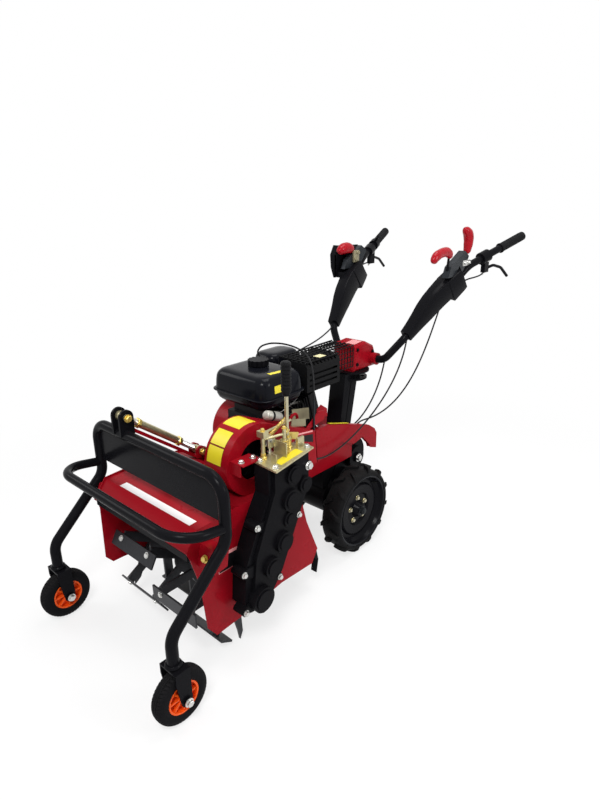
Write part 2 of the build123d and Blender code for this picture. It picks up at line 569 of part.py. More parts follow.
# Drive wheels: stepped dish with its axle shaft, tyre with slanted lugs
for name, sx in (("left", 1), ("right", -1)):
    x = sx * WHEEL_X
    half = TYRE_W / 2
    # dish section from hub to rim, as (outward distance from the middle, radius)
    dish = [(half - 10, 0), (half - 10, 24), (10, 34), (8, 60), (16, 66), (18, 98), (10, 106), (10, 118)]
    dish += [(24, 128), (half - 4, RIM_R - 7), (half - 4, RIM_R), (-half + 4, RIM_R), (-half + 4, RIM_R - 6)]
    dish += [(18, RIM_R - 8), (5, 122), (5, 102), (12, 94), (11, 70), (3, 64), (4, 36), (-36, 34), (-36, 0)]
    wheel_plane = Plane(origin=(x, WHEEL_Y, WHEEL_Z), x_dir=(sx, 0, 0), z_dir=(0, -sx, 0))
    rim = revolve(wheel_plane * make_face(Polyline(*dish, close=True)), axis=Axis((x, WHEEL_Y, WHEEL_Z), (1, 0, 0)))
    rim += cyl_x(sx * 80, x - sx * 30, WHEEL_Y, WHEEL_Z, AXLE_SHAFT_R)
    write(f"drive_rim_{name}", rim)

    flats = 2 * LUG_PAIRS
    sections = []
    for dx, r in ((-half, TYRE_R - 10), (-half + 8, TYRE_R), (half - 8, TYRE_R), (half, TYRE_R - 10)):
        plane = Plane(origin=(x + dx, WHEEL_Y, WHEEL_Z), x_dir=(0, 1, 0), z_dir=(1, 0, 0))
        sections.append(plane * RegularPolygon(r, flats))
    tyre = loft(sections, ruled=True)
    for i in range(flats):
        side = 1 if i % 2 else -1
        lug = Pos(side * half / 2.1, 0, TYRE_R + LUG_H / 2 - 6) * Rot(0, 0, side * 32) * Box(half + 10, 17, LUG_H + 12)
        lug &= Pos(side * half / 2, 0, TYRE_R) * Box(half + 10, 60, 2 * LUG_H)
        tyre += Pos(x, WHEEL_Y, WHEEL_Z) * Rot(i * 360 / flats, 0, 0) * lug
    tyre &= bx(x - half, x + half, WHEEL_Y - 300, WHEEL_Y + 300, -300, 600)
    tyre -= cyl_x(x - half - 1, x + half + 1, WHEEL_Y, WHEEL_Z, RIM_R + SEAT)
    write(f"drive_tyre_{name}", biggest(tyre))

# Column with its two holed plates, and the red cover over the handlebar's clamp
column = slab_x([(1015, COLUMN_FOOT_Z), (1082, COLUMN_FOOT_Z), (1132, COLUMN_TOP_Z), (1050, COLUMN_TOP_Z)], -30, 40)
column -= slab_x([(1046, COLUMN_FOOT_Z + 12), (1051, COLUMN_FOOT_Z + 12), (1090, 618), (1085, 618)], 36, 41)
column += cyl_z(FLANGE_AT[0], FLANGE_AT[1], COLUMN_TOP_Z - 30, COLUMN_TOP_Z - 23, FLANGE_R - 8)
plate_ring = cyl_z(FLANGE_AT[0], FLANGE_AT[1], COLUMN_TOP_Z, COLUMN_TOP_Z + 6, FLANGE_R)
plate_ring += cyl_z(FLANGE_AT[0], FLANGE_AT[1], COLUMN_TOP_Z - 24, COLUMN_TOP_Z + 1, 36)
HOLES = 14
for i in range(HOLES):
    a = 2 * math.pi * i / HOLES
    at = (FLANGE_AT[0] + (FLANGE_R - 10) * math.cos(a), FLANGE_AT[1] + (FLANGE_R - 10) * math.sin(a))
    plate_ring -= cyl_z(at[0], at[1], COLUMN_TOP_Z - 1, COLUMN_TOP_Z + 7, 5)
column += plate_ring
write("steering_column", column)

handle_line = [GRIP_END, GRIP_ROOT, HANDLE_RISE, HANDLE_CROSS]
handle_line += [(-x, y, z) for x, y, z in reversed(handle_line)]
handle_radii = [160, 90, 45, 45, 90, 160]
handle = tube(handle_line, handle_radii, HANDLE_R)
handle_seat = tube(handle_line, handle_radii, HANDLE_R + SEAT)
write("handlebar", handle)
cover_z = COLUMN_TOP_Z + 6
cover = slab_x([(1085, cover_z), (1230, cover_z), (1232, 700), (1214, 742), (1160, 768), (1085, 762)], -50, 55)
cover = chamfer(cover.edges().group_by(Axis.X)[0] + cover.edges().group_by(Axis.X)[-1], 7)
cover += cyl_x(-80, 80, HANDLE_CROSS[1], HANDLE_CROSS[2], 24)
cover = biggest(cover - handle_seat)
write("column_cover", cover)

# Handle covers: folded sheet boxes that widen up the rising tubes
low = Vector(178, 1262, 800)
high = Vector(250, 1510, 1012)
way = (high - low).normalized()
flat = (Vector(1, 0, 0) - way * way.X).normalized()
plane_low = Plane(origin=low, x_dir=flat, z_dir=way)
plane_high = Plane(origin=high, x_dir=flat, z_dir=way)
sleeve = loft([plane_low * Rectangle(42, 44), plane_high * Rectangle(62, 88)])
sleeve += extrude(plane_high * Pos(0, 6, 0) * Rectangle(66, 96), -58)
sleeve_left = biggest(sleeve - handle_seat)
write("handle_cover_left", sleeve_left)
write("handle_cover_right", mirror_x(sleeve_left))

# Red lever grips: a tall one and a forward one on the left, a forward one on the right
tall = [(1546, 1086), (1543, 1148), (1518, 1166), (1522, 1184), (1560, 1187), (1574, 1170), (1570, 1086)]
bent = [(1280, 1066), (1284, 1094), (1330, 1120), (1400, 1126), (1436, 1106), (1424, 1072), (1392, 1080)]
bent += [(1350, 1092), (1312, 1070), (1294, 1060)]
LEVER_X = 250.0
grip_tall = chamfer(slab_x(tall, LEVER_X - 17, LEVER_X + 17).edges().filter_by(Axis.X, reverse=True), 5)
grip_bent = chamfer(slab_x(bent, LEVER_X - 15, LEVER_X + 15).edges().filter_by(Axis.X, reverse=True), 5)
gate_line = [(1392, 1004), (1410, 1044), (1516, 1098), (1552, 1076), (1530, 1040), (1500, 1010)]
gate_near = biggest(slab_x(gate_line, LEVER_X - 14, LEVER_X + 14) - sleeve_left - handle_seat)
gate_far = slab_x(gate_line, LEVER_X - 14, LEVER_X + 6)
gate_far += slab_x([(1470, 1010), (1480, 1092), (1506, 1092), (1540, 1040), (1530, 1006)], LEVER_X + 6, LEVER_X + 10)
gate_far = biggest(gate_far - sleeve_left - handle_seat)
grip_tall += rod((LEVER_X, 1540, 1050), (LEVER_X, 1558, 1092), 6)
grip_bent += rod((LEVER_X, 1404, 1030), (LEVER_X, 1410, 1084), 6)
grip_tall = biggest(grip_tall - gate_near - sleeve_left - handle_seat)
grip_near = biggest(grip_bent - gate_near - sleeve_left - handle_seat)
grip_far = biggest(grip_bent - gate_far - sleeve_left - handle_seat)
write("control_levers", grip_tall, grip_near, mirror_x(grip_far))

# The levers' gate plates, and the cable's adjuster on the belt guard
ADJUSTER = (152.5, 731.0, 660.0)
adjuster = cyl_z(ADJUSTER[0], ADJUSTER[1], 520, ADJUSTER[2], 3.5)
write("lever_gates", gate_near, mirror_x(gate_far), adjuster)

# Grips, and the brackets with the clutch levers; a throttle housing on the right
grip_a = Vector(*GRIP_END)
grip_way = (Vector(*GRIP_ROOT) - grip_a).normalized()
grip = rod(grip_a - grip_way * GRIP_OVER, grip_a + grip_way * GRIP_L, GRIP_R)
grip -= rod(grip_a, grip_a + grip_way * (GRIP_L + 1), HANDLE_R + SEAT)
lever_grip = cyl_z(LEVER_AT[0], LEVER_AT[1], 762, 854, 9)
for i in range(5):
    lever_grip += cyl_z(LEVER_AT[0], LEVER_AT[1], 770 + i * 16, 776 + i * 16, 11)
lever_grip -= cyl_z(LEVER_AT[0], LEVER_AT[1], 761, 850, 6 + SEAT)
write("grips", grip, mirror_x(grip), lever_grip)
BRACKET_BACK = 236.0
bracket_at = grip_a + grip_way * BRACKET_BACK
clutch = rod(bracket_at - grip_way * 22, bracket_at + grip_way * 22, 25)
clutch += bx(bracket_at.X - 9, bracket_at.X + 9, bracket_at.Y - 2, bracket_at.Y + 34, 1004, bracket_at.Z)
clutch -= rod(bracket_at - grip_way * 60, bracket_at + grip_way * 60, HANDLE_R + SEAT)
lever_line = [(bracket_at.X, 1666, 1018), (300, 1706, 1030), (309, 1764, 1016), (316, 1820, 976)]
clutch += tube(lever_line, [40, 60], 6)
clutch = biggest(clutch - handle_seat)
throttle_at = grip_a + grip_way * (GRIP_L + 24)
throttle = rod(throttle_at - grip_way * 16, throttle_at + grip_way * 16, 24)
throttle += rod(throttle_at + Vector(0, 0, 12), throttle_at + Vector(-30, -14, 36), 7)
throttle = mirror_x(biggest(throttle - handle_seat))
write("clutch_levers", clutch, mirror_x(clutch), throttle)

# Cables between the handles and the machine: poles of each route, number of runs, radius
CABLE_R = 3.0
tail_a = [(98, 1036, 458), (96, 992, 424)]
tail_c = [(72, 1004, 436), (70, 984, 424)]
route_a = cable_line([(225, 1465, 970), (250, 1330, 835), (195, 1365, 665), (200, 1225, 485), (105, 1065, 475)], 12) + tail_a
route_b = cable_line([(178, 1262, 792), (185, 1215, 585), (130, 1050, 455), (150, 860, 400), (184, 700, 466)], 12)
route_c = cable_line([(112, 1208, 688), (115, 1180, 590), (95, 1125, 475), (78, 1030, 448)], 7) + tail_c
route_d = cable_line([(288, 1662, 1012), (284, 1625, 975), (272, 1575, 1000), (260, 1500, 975)], 4)
route_e = cable_line([(-140, 780, 740), (-140, 690, 800), (-120, 800, 880), (60, 865, 750), (120, 765, 860), ADJUSTER], 9)
route_f = cable_line([(-288, 1662, 1012), (-290, 1490, 1015), (-275, 1435, 840), (-192, 1312, 832)], 8)
route_g = cable_line([(-176, 1258, 795), (-150, 1125, 735), (-140, 995, 745), (-120, 915, 730)], 7)
carriers = [sleeve_left, mirror_x(sleeve_left), handle, guard, air, clutch, mirror_x(clutch), trans]
carriers += [biggest(chassis), adjuster, gate_near, mirror_x(gate_far)]
cables = []
for route in (route_a, route_b, route_c, route_d, route_e, route_f, route_g):
    cable = tube(route, bend_radii(route), CABLE_R)
    for carrier in carriers:
        cable = cable - carrier
    cables.append(biggest(cable))
write("cables", *cables)
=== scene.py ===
import json
import math
import bmesh
import bpy
from mathutils import Matrix, Vector


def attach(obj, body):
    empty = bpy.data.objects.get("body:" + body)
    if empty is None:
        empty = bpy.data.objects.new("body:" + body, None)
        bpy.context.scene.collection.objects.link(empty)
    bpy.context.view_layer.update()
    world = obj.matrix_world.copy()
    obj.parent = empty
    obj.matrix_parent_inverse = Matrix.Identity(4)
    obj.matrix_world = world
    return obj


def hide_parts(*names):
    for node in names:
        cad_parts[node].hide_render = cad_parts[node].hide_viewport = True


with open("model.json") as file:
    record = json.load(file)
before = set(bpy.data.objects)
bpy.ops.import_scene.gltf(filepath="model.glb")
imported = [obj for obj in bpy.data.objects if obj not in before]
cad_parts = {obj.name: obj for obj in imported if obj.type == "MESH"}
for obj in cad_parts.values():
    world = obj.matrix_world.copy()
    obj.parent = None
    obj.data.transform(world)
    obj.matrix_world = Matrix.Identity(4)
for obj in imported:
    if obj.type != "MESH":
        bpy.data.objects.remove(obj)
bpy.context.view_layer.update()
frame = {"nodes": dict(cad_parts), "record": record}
nodes = frame["nodes"]

# Places and sizes below are in millimetres, with Y counted from the caster swivels as in the part's source.
# The row frame starts at the middle of the footprint, this far behind the swivels, in metres.
Y_MID = 0.900573
X, Y, Z = Vector((1, 0, 0)), Vector((0, 1, 0)), Vector((0, 0, 1))
SIDES = (("left", 1), ("right", -1))


def at(x, y, z):
    """A place in millimetres from the caster swivels, as a point of the row frame in metres."""
    return Vector((x / 1000, y / 1000 - Y_MID, z / 1000))


def mirrored(p, sx):
    """The place p on the left, or its mirror image on the right."""
    return Vector((p[0] * sx, p[1], p[2]))


# Camera of the photo: its place, and its turn, dip and roll in degrees
CAM_PLACE = at(1304.38, -617.08, 1291.98)
CAM_TURN, CAM_DIP, CAM_ROLL = 42.014, 19.528, 0.527
CAM_LENS, CAM_SENSOR = 25.385, 36


def add_camera():
    turn, dip, roll = math.radians(CAM_TURN), math.radians(CAM_DIP), math.radians(CAM_ROLL)
    ahead = Vector((-math.sin(turn) * math.cos(dip), math.cos(turn) * math.cos(dip), -math.sin(dip)))
    right = Vector((math.cos(turn), math.sin(turn), 0))
    down = ahead.cross(right)
    right, down = (right * math.cos(roll) + down * math.sin(roll),
                   down * math.cos(roll) - right * math.sin(roll))
    cam = bpy.data.objects.new("photo_camera", bpy.data.cameras.new("photo_camera"))
    bpy.context.scene.collection.objects.link(cam)
    cam.matrix_world = Matrix((
        (right.x, -down.x, -ahead.x, CAM_PLACE.x),
        (right.y, -down.y, -ahead.y, CAM_PLACE.y),
        (right.z, -down.z, -ahead.z, CAM_PLACE.z),
        (0, 0, 0, 1),
    ))
    cam.data.sensor_width = CAM_SENSOR
    cam.data.lens = CAM_LENS
    bpy.context.scene.camera = cam


add_camera()


# Finishes
COAT_ROUGH = 0.12
ROUGH_LOW, ROUGH_HIGH = 0.75, 1.3
DRIFT_SCALE = 9
BRUSH_STRETCH = (1, 14, 1)
DUST = (0.2, 0.18, 0.16, 1)
BUMP_DEPTH = 0.001


def node(tree, kind, inputs=None, **settings):
    """A new shader node with its settings, and the values of its unlinked inputs."""
    made = tree.nodes.new(kind)
    for key, value in settings.items():
        setattr(made, key, value)
    for key, value in (inputs or {}).items():
        made.inputs[key].default_value = value
    return made


def paint(name, color, rough, metal=0.0, coat=0.0, shine=0.5, vary=0.0, bump=0.0, scale=40.0, dust=0.0,
          brushed=False):
    """A finish with its own grain: colour and roughness drift, fine bumps, and dust on faces turned up."""
    mat = bpy.data.materials.new(name)
    mat.use_nodes = True
    tree = mat.node_tree
    link = tree.links.new
    shader = tree.nodes["Principled BSDF"]
    shader.inputs["Metallic"].default_value = metal
    shader.inputs["Coat Weight"].default_value = coat
    shader.inputs["Coat Roughness"].default_value = COAT_ROUGH
    shader.inputs["Specular IOR Level"].default_value = shine

    coord = node(tree, "ShaderNodeTexCoord")
    fine = node(tree, "ShaderNodeTexNoise", {"Scale": scale, "Detail": 5})
    wide = node(tree, "ShaderNodeTexNoise", {"Scale": DRIFT_SCALE, "Detail": 3})
    link(coord.outputs["Object"], wide.inputs["Vector"])
    if brushed:
        stretch = node(tree, "ShaderNodeMapping", {"Scale": BRUSH_STRETCH})
        link(coord.outputs["Object"], stretch.inputs["Vector"])
        link(stretch.outputs["Vector"], fine.inputs["Vector"])
    else:
        link(coord.outputs["Object"], fine.inputs["Vector"])

    darker = (*[c * (1 - vary) for c in color], 1)
    lighter = (*[min(1, c * (1 + vary) + vary * 0.006) for c in color], 1)
    tint = node(tree, "ShaderNodeMix", data_type="RGBA")
    tint.inputs["A"].default_value = darker
    tint.inputs["B"].default_value = lighter
    link(fine.outputs["Fac"], tint.inputs["Factor"])
    surface = tint.outputs["Result"]
    if dust:
        facing = node(tree, "ShaderNodeNewGeometry")
        split = node(tree, "ShaderNodeSeparateXYZ")
        link(facing.outputs["Normal"], split.inputs["Vector"])
        amount = node(tree, "ShaderNodeMath", operation="MULTIPLY", use_clamp=True)
        link(split.outputs["Z"], amount.inputs[0])
        link(wide.outputs["Fac"], amount.inputs[1])
        part = node(tree, "ShaderNodeMath", {1: dust}, operation="MULTIPLY", use_clamp=True)
        link(amount.outputs["Value"], part.inputs[0])
        lay = node(tree, "ShaderNodeMix", data_type="RGBA")
        lay.inputs["B"].default_value = DUST
        link(part.outputs["Value"], lay.inputs["Factor"])
        link(surface, lay.inputs["A"])
        surface = lay.outputs["Result"]
    link(surface, shader.inputs["Base Color"])

    gloss = node(tree, "ShaderNodeMapRange", {"To Min": rough * ROUGH_LOW, "To Max": min(1, rough * ROUGH_HIGH)})
    link(wide.outputs["Fac"], gloss.inputs["Value"])
    link(gloss.outputs["Result"], shader.inputs["Roughness"])
    if bump:
        grain = node(tree, "ShaderNodeBump", {"Strength": bump, "Distance": BUMP_DEPTH})
        link(fine.outputs["Fac"], grain.inputs["Height"])
        link(grain.outputs["Normal"], shader.inputs["Normal"])
    return mat


BLACK = (0.0042, 0.0042, 0.0056)
RED = (0.27, 0.0028, 0.009)
# One finish for each material slot of the record
FINISHES = {
    "black_paint": dict(color=BLACK, rough=0.22, coat=0.02, shine=0.03, vary=0.3, bump=0.02, scale=260, dust=0.01),
    "red_paint": dict(color=RED, rough=0.28, coat=0.05, shine=0.05, vary=0.14, bump=0.02, scale=220, dust=0.02),
    "zinc": dict(color=(0.5, 0.45, 0.27), rough=0.34, metal=0.85, vary=0.35, bump=0.05, scale=60),
    "caster_rubber": dict(color=(0.005, 0.005, 0.006), rough=0.6, shine=0.04, vary=0.3, bump=0.2, scale=300,
                          dust=0.05),
    "orange_plastic": dict(color=(0.8, 0.09, 0.006), rough=0.34, shine=0.2, vary=0.12, bump=0.04, scale=300),
    "rotor_steel": dict(color=(0.022, 0.023, 0.027), rough=0.36, metal=0.25, shine=0.2, vary=0.35, bump=0.1,
                        scale=120, dust=0.1),
    "cast_black": dict(color=(0.0035, 0.0034, 0.0045), rough=0.34, shine=0.035, vary=0.35, bump=0.2, scale=240,
                       dust=0.01),
    "lever_steel": dict(color=(0.48, 0.44, 0.3), rough=0.25, metal=0.9, vary=0.15, brushed=True),
    "cast_grey": dict(color=(0.014, 0.016, 0.018), rough=0.45, metal=0.3, shine=0.15, vary=0.3, bump=0.2,
                      scale=160),
    "belt_rubber": dict(color=(0.008, 0.008, 0.008), rough=0.7, shine=0.08, vary=0.3, bump=0.1, scale=300),
    "engine_aluminium": dict(color=(0.006, 0.006, 0.007), rough=0.45, shine=0.1, vary=0.4, bump=0.25, scale=200),
    "black_gloss": dict(color=(0.0035, 0.004, 0.0065), rough=0.17, coat=0.035, shine=0.06, vary=0.25, bump=0.015,
                        scale=200, dust=0.01),
    "black_plastic": dict(color=(0.0038, 0.0038, 0.005), rough=0.36, shine=0.04, vary=0.3, bump=0.08, scale=420,
                          dust=0.01),
    "muffler_black": dict(color=(0.004, 0.004, 0.0045), rough=0.45, shine=0.06, vary=0.4, bump=0.1, scale=260),
    "red_plastic": dict(color=(0.33, 0.003, 0.01), rough=0.25, coat=0.12, shine=0.1, vary=0.12, bump=0.01,
                        scale=160),
    "gate_steel": dict(color=(0.016, 0.019, 0.023), rough=0.36, metal=0.2, shine=0.15, vary=0.3, bump=0.03,
                       scale=90),
    "cable_black": dict(color=(0.007, 0.007, 0.008), rough=0.4, shine=0.12, vary=0.25, bump=0.05, scale=400),
    "grip_rubber": dict(color=(0.006, 0.006, 0.007), rough=0.55, shine=0.08, vary=0.3, bump=0.12, scale=500),
    "tyre_rubber": dict(color=(0.0045, 0.0045, 0.005), rough=0.55, shine=0.04, vary=0.35, bump=0.3, scale=240,
                        dust=0.04),
}
M = {slot: paint(slot, **look) for slot, look in FINISHES.items()}

# Finishes of pieces that only this script makes
BOLT = paint("bright_zinc", (0.62, 0.62, 0.6), 0.28, metal=0.9, vary=0.15)
GOLD = paint("gold_zinc", (0.62, 0.47, 0.13), 0.3, metal=0.85, vary=0.3, bump=0.04, scale=80)
YELLOW = paint("yellow_label", (0.72, 0.6, 0.02), 0.35, shine=0.4, vary=0.05, scale=90)
WHITE = paint("white_label", (0.82, 0.8, 0.8), 0.35, shine=0.4, vary=0.03, scale=90)
CREAM = paint("cream_label", (0.72, 0.66, 0.36), 0.4, shine=0.3, vary=0.06, scale=90)
# Pale red of the labels on red paint. On the column cover's label it is partly a painted highlight of the cover's lit
# top.
PINK = paint("pale_red_label_and_highlight", (0.75, 0.3, 0.3), 0.35, shine=0.4, vary=0.06, scale=90)
BLACK_LABEL = paint("black_label", (0.006, 0.006, 0.007), 0.3, shine=0.12, vary=0.2, scale=90)
SPRING = paint("spring_steel", (0.3, 0.29, 0.27), 0.3, metal=0.9, vary=0.2)
GREY = paint("grey_capsule", (0.36, 0.35, 0.31), 0.42, metal=0.5, vary=0.12, bump=0.05, scale=120)
TAN = paint("tan_plate", (0.27, 0.245, 0.15), 0.42, metal=0.6, vary=0.2, bump=0.05, scale=80)

slots = {s["node"]: s["material_slot"] for s in frame["record"]["subparts"]}
for name, o in nodes.items():
    o.data.materials.clear()
    o.data.materials.append(M[slots[name]])


# Shapes
# Heads of the common bolts by their thread: width across flats and height
M6, M8, M10 = (10, 6), (13, 7), (17, 8)
WASHER_THICK, WASHER_R, HEAD_BEVEL = 1.8, 1.3, 1.2
SPRING_STEPS = 16


def circle(middle, side, other, r, steps):
    """Ring of steps points about the middle, in the plane of the directions side and other."""
    turns = [2 * math.pi * k / steps for k in range(steps)]
    return [middle + (side * math.cos(t) + other * math.sin(t)) * r for t in turns]


def skin(rings):
    """Rings joined one to the next and closed at both ends, as points and faces."""
    n = len(rings[0])
    faces = []
    for i in range(len(rings) - 1):
        for k in range(n):
            m = (k + 1) % n
            faces.append((i * n + k, i * n + m, (i + 1) * n + m, (i + 1) * n + k))
    faces += [tuple(reversed(range(n))), tuple(range((len(rings) - 1) * n, len(rings) * n))]
    return [v for ring in rings for v in ring], faces


def rounded_ring(x0, x1, y0, y1, r, z, corner_steps=8):
    """A rounded rectangle at height z."""
    ring = []
    for cx, cy, a0 in ((x1 - r, y1 - r, 0), (x0 + r, y1 - r, 90), (x0 + r, y0 + r, 180), (x1 - r, y0 + r, 270)):
        for k in range(corner_steps + 1):
            a = math.radians(a0 + 90 * k / corner_steps)
            ring.append((cx + r * math.cos(a), cy + r * math.sin(a), z))
    return ring


def smooth(points, steps=8):
    """A rounded line through the points."""
    pts = [Vector(p) for p in points]
    pts = [pts[0] * 2 - pts[1]] + pts + [pts[-1] * 2 - pts[-2]]
    line = []
    for a, b, c, d in zip(pts, pts[1:], pts[2:], pts[3:]):
        for i in range(steps):
            t = i / steps
            square, cube = 2 * a - 5 * b + 4 * c - d, 3 * b - a - 3 * c + d
            line.append(0.5 * (2 * b + (c - a) * t + square * t**2 + cube * t**3))
    line.append(pts[-2])
    return line


class Shape:
    """Faces of one piece, in millimetres from the caster swivels."""

    def __init__(self):
        self.bm = bmesh.new()

    def add(self, verts, faces):
        made = [self.bm.verts.new(v) for v in verts]
        for f in faces:
            self.bm.faces.new([made[i] for i in f])
        return self

    def turned(self, base, way, profile, steps=20):
        """Turned form: profile holds (distance along the axis, radius)."""
        base, way = Vector(base), Vector(way).normalized()
        side = way.orthogonal().normalized()
        other = way.cross(side)
        return self.add(*skin([circle(base + way * along, side, other, r, steps) for along, r in profile]))

    def open_ends(self):
        """Takes the end faces off a turned form."""
        for face in [f for f in self.bm.faces if len(f.verts) > 4]:
            self.bm.faces.remove(face)
        return self

    def bolt(self, base, way, across_flats, height):
        """Hex head on a washer, WASHER_R times as wide as the head."""
        r = across_flats / math.sqrt(3)
        self.turned(base, way, [(0, r * WASHER_R), (WASHER_THICK, r * WASHER_R), (WASHER_THICK, 0.8 * r)], 18)
        return self.turned(Vector(base) + Vector(way).normalized() * WASHER_THICK, way,
                           [(-0.3, r), (height - HEAD_BEVEL, r), (height, r * 0.84)], 6)

    def block(self, x0, x1, y0, y1, z0, z1, soft, turn=None):
        """Box with softened edges, turned about its middle."""
        size = Matrix.Diagonal((abs(x1 - x0), abs(y1 - y0), abs(z1 - z0), 1))
        mid = Matrix.Translation(((x0 + x1) / 2, (y0 + y1) / 2, (z0 + z1) / 2))
        made = bmesh.ops.create_cube(self.bm, size=1, matrix=mid @ (turn or Matrix.Identity(4)) @ size)
        edges = list(dict.fromkeys(e for v in made["verts"] for e in v.link_edges))
        bmesh.ops.bevel(self.bm, geom=edges, offset=soft, segments=2, affect="EDGES", profile=0.6)
        return self

    def pipe(self, points, r, steps=10):
        """Round bar along points."""
        pts = [Vector(p) for p in points]
        side = (pts[1] - pts[0]).orthogonal().normalized()
        rings = []
        for i, p in enumerate(pts):
            way = (pts[min(i + 1, len(pts) - 1)] - pts[max(i - 1, 0)]).normalized()
            side = (side - way * side.dot(way)).normalized()
            rings.append(circle(p, side, way.cross(side), r, steps))
        return self.add(*skin(rings))

    def spring(self, a, b, r, wire, turns):
        """Coil of wire of radius wire, from a to b."""
        a, b = Vector(a), Vector(b)
        way = (b - a).normalized()
        side = way.orthogonal().normalized()
        other = way.cross(side)
        points = []
        for i in range(int(turns * SPRING_STEPS) + 1):
            t = i / SPRING_STEPS * 2 * math.pi
            middle = a + (b - a) * i / (turns * SPRING_STEPS)
            points.append(middle + (side * math.cos(t) + other * math.sin(t)) * r)
        return self.pipe(points, wire, 6)

    def slab(self, outline, way):
        """A flat outline in space, thickened along way."""
        n = len(outline)
        verts = [Vector(p) for p in outline] + [Vector(p) + Vector(way) for p in outline]
        faces = [tuple(reversed(range(n))), tuple(range(n, 2 * n))]
        faces += [(i, (i + 1) % n, n + (i + 1) % n, n + i) for i in range(n)]
        return self.add(verts, faces)

    def done(self, name, mat, slot, body="machine", angle=35):
        """The finished piece, riding on its body; edges sharper than angle stay sharp."""
        bmesh.ops.recalc_face_normals(self.bm, faces=self.bm.faces)
        for v in self.bm.verts:
            v.co = at(*v.co)
        mesh = bpy.data.meshes.new(name)
        self.bm.to_mesh(mesh)
        self.bm.free()
        mesh.polygons.foreach_set("use_smooth", [True] * len(mesh.polygons))
        mesh.set_sharp_from_angle(angle=math.radians(angle))
        mesh.materials.append(mat)
        o = bpy.data.objects.new(name, mesh)
        bpy.context.scene.collection.objects.link(o)
        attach(o, body)
        return o


# Casters: tyres with a block tread, axle nuts, rolled lips of the rims, dust caps of the swivels
CASTER_R, CASTER_TRAIL, HOOP_X = 80.0, 9.3, 308.0
CASTER_NUT_X, CASTER_LIP_X, DUST_CAP_Z = 40.5, 17, 185.5
TREAD_PITCHES, TREAD_STEPS, TREAD_HALF = 46, 6, 16
# Depths of the grooves round the tyre, between the middle blocks and between the shoulder blocks
GROOVE_ROUND, GROOVE_MIDDLE, GROOVE_SHOULDER = 1.5, 1.2, 1.7
# Where they lie, as distances from the middle: half of the middle groove, the outer one, the shoulder blocks
MIDDLE_HALF, OUTER_FROM, OUTER_TO, SHOULDER_FROM, SHOULDER_TO = 1.2, 6.0, 7.6, 8.5, 19
# Half of the tyre's section, from the bead to the crown: distance from the middle, radius
CASTER_SECTION = [(13, 46.8), (19, 47.5), (22, 52), (23, 58), (22.6, 64), (21, 70), (18.5, 74), (17.6, 75.4),
                  (16.4, 76.3), (15.2, 77.1), (14, 77.8), (11.8, 78.6), (9.5, 79.1), (8.6, 79.3), (7.4, 79.5),
                  (6.2, 79.6), (5.2, 79.7), (3.2, 79.85), (2.2, 79.95), (1.1, 80), (0, 80)]


def tread_depth(s, turn_part, side):
    """Depth of the groove at offset s from the middle and at a part of one pitch round the tyre."""
    a = abs(s)
    if a < MIDDLE_HALF or OUTER_FROM < a < OUTER_TO:
        return GROOVE_ROUND
    in_middle = a <= OUTER_FROM
    lean = 0.25 if in_middle else 0.6
    place_in_pitch = (turn_part + side * a / TREAD_HALF * lean) % 1
    if in_middle and place_in_pitch < 0.17:
        return GROOVE_MIDDLE
    if SHOULDER_FROM < a < SHOULDER_TO and place_in_pitch < 0.2:
        return GROOVE_SHOULDER
    return 0.0


def caster_tread(x):
    section = CASTER_SECTION + [(-s, r) for s, r in reversed(CASTER_SECTION[:-1])]
    count, n = TREAD_PITCHES * TREAD_STEPS, len(section)
    verts, faces = [], []
    for k in range(count):
        t = 2 * math.pi * k / count
        for s, r in section:
            r_here = r - tread_depth(s, k / TREAD_STEPS, 1 if s > 0 else -1)
            verts.append((x + s, CASTER_TRAIL + r_here * math.cos(t), CASTER_R + r_here * math.sin(t)))
    for k in range(count):
        m = (k + 1) % count
        for i in range(n):
            j = (i + 1) % n
            faces.append((k * n + i, k * n + j, m * n + j, m * n + i))
    return Shape().add(verts, faces)


def add_caster(side_name, sx):
    x = sx * HOOP_X
    wheel, fork = f"caster_wheel_{side_name}", f"caster_{side_name}"
    tyre = caster_tread(x).done(f"caster_tread_{side_name}", M["caster_rubber"], "caster_rubber", wheel, 28)
    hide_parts(f"caster_tyre_{side_name}")
    nuts = Shape()
    for s in (-1, 1):
        nuts.bolt((x + s * CASTER_NUT_X, CASTER_TRAIL, CASTER_R), (s, 0, 0), *M10)
    nuts.done(f"caster_axle_nuts_{side_name}", BOLT, "zinc", fork)
    lip = Shape()
    for s in (-1, 1):
        lip.turned((x + s * CASTER_LIP_X, CASTER_TRAIL, CASTER_R), (s, 0, 0),
                   [(0, 41.5), (1.6, 42), (2.6, 44), (2.4, 46), (0, 46.6)], 64)
    lip.open_ends().done(f"caster_rim_lip_{side_name}", M["orange_plastic"], "orange_plastic", wheel)
    crown = Shape().turned((x, 0, DUST_CAP_Z), Z, [(0, 23), (3, 22), (6, 18.5), (6, 17)], 40)
    crown.done(f"caster_dust_cap_{side_name}", M["black_paint"], "black_paint", fork)


for side_name, sx in SIDES:
    add_caster(side_name, sx)


# Drive wheels: carcass with slanted bars, hub nut and bolts, rolled edge of the rim, valve
WHEEL_X, WHEEL_Y, WHEEL_Z = 180.8, 942.7, 172.4
# How far the hub nut, the studs, the rim's rolled edge and the valve lie out from the middle of the wheel
HUB_OUT, STUD_OUT, EDGE_OUT, VALVE_OUT = 30.5, 8.5, 34.5, 12
STUD_COUNT, STUD_R, STUD_TURN = 5, 47, 0.35
# Section of the carcass: distance from the middle, radius
CARCASS = [(-34, 140.3), (-39, 141.5), (-40.4, 146), (-39.5, 151.5), (-36, 156), (-30, 159), (-15, 160.4),
           (0, 160.6), (15, 160.4), (30, 159), (36, 156), (39.5, 151.5), (40.4, 146), (39, 141.5), (34, 140.3)]
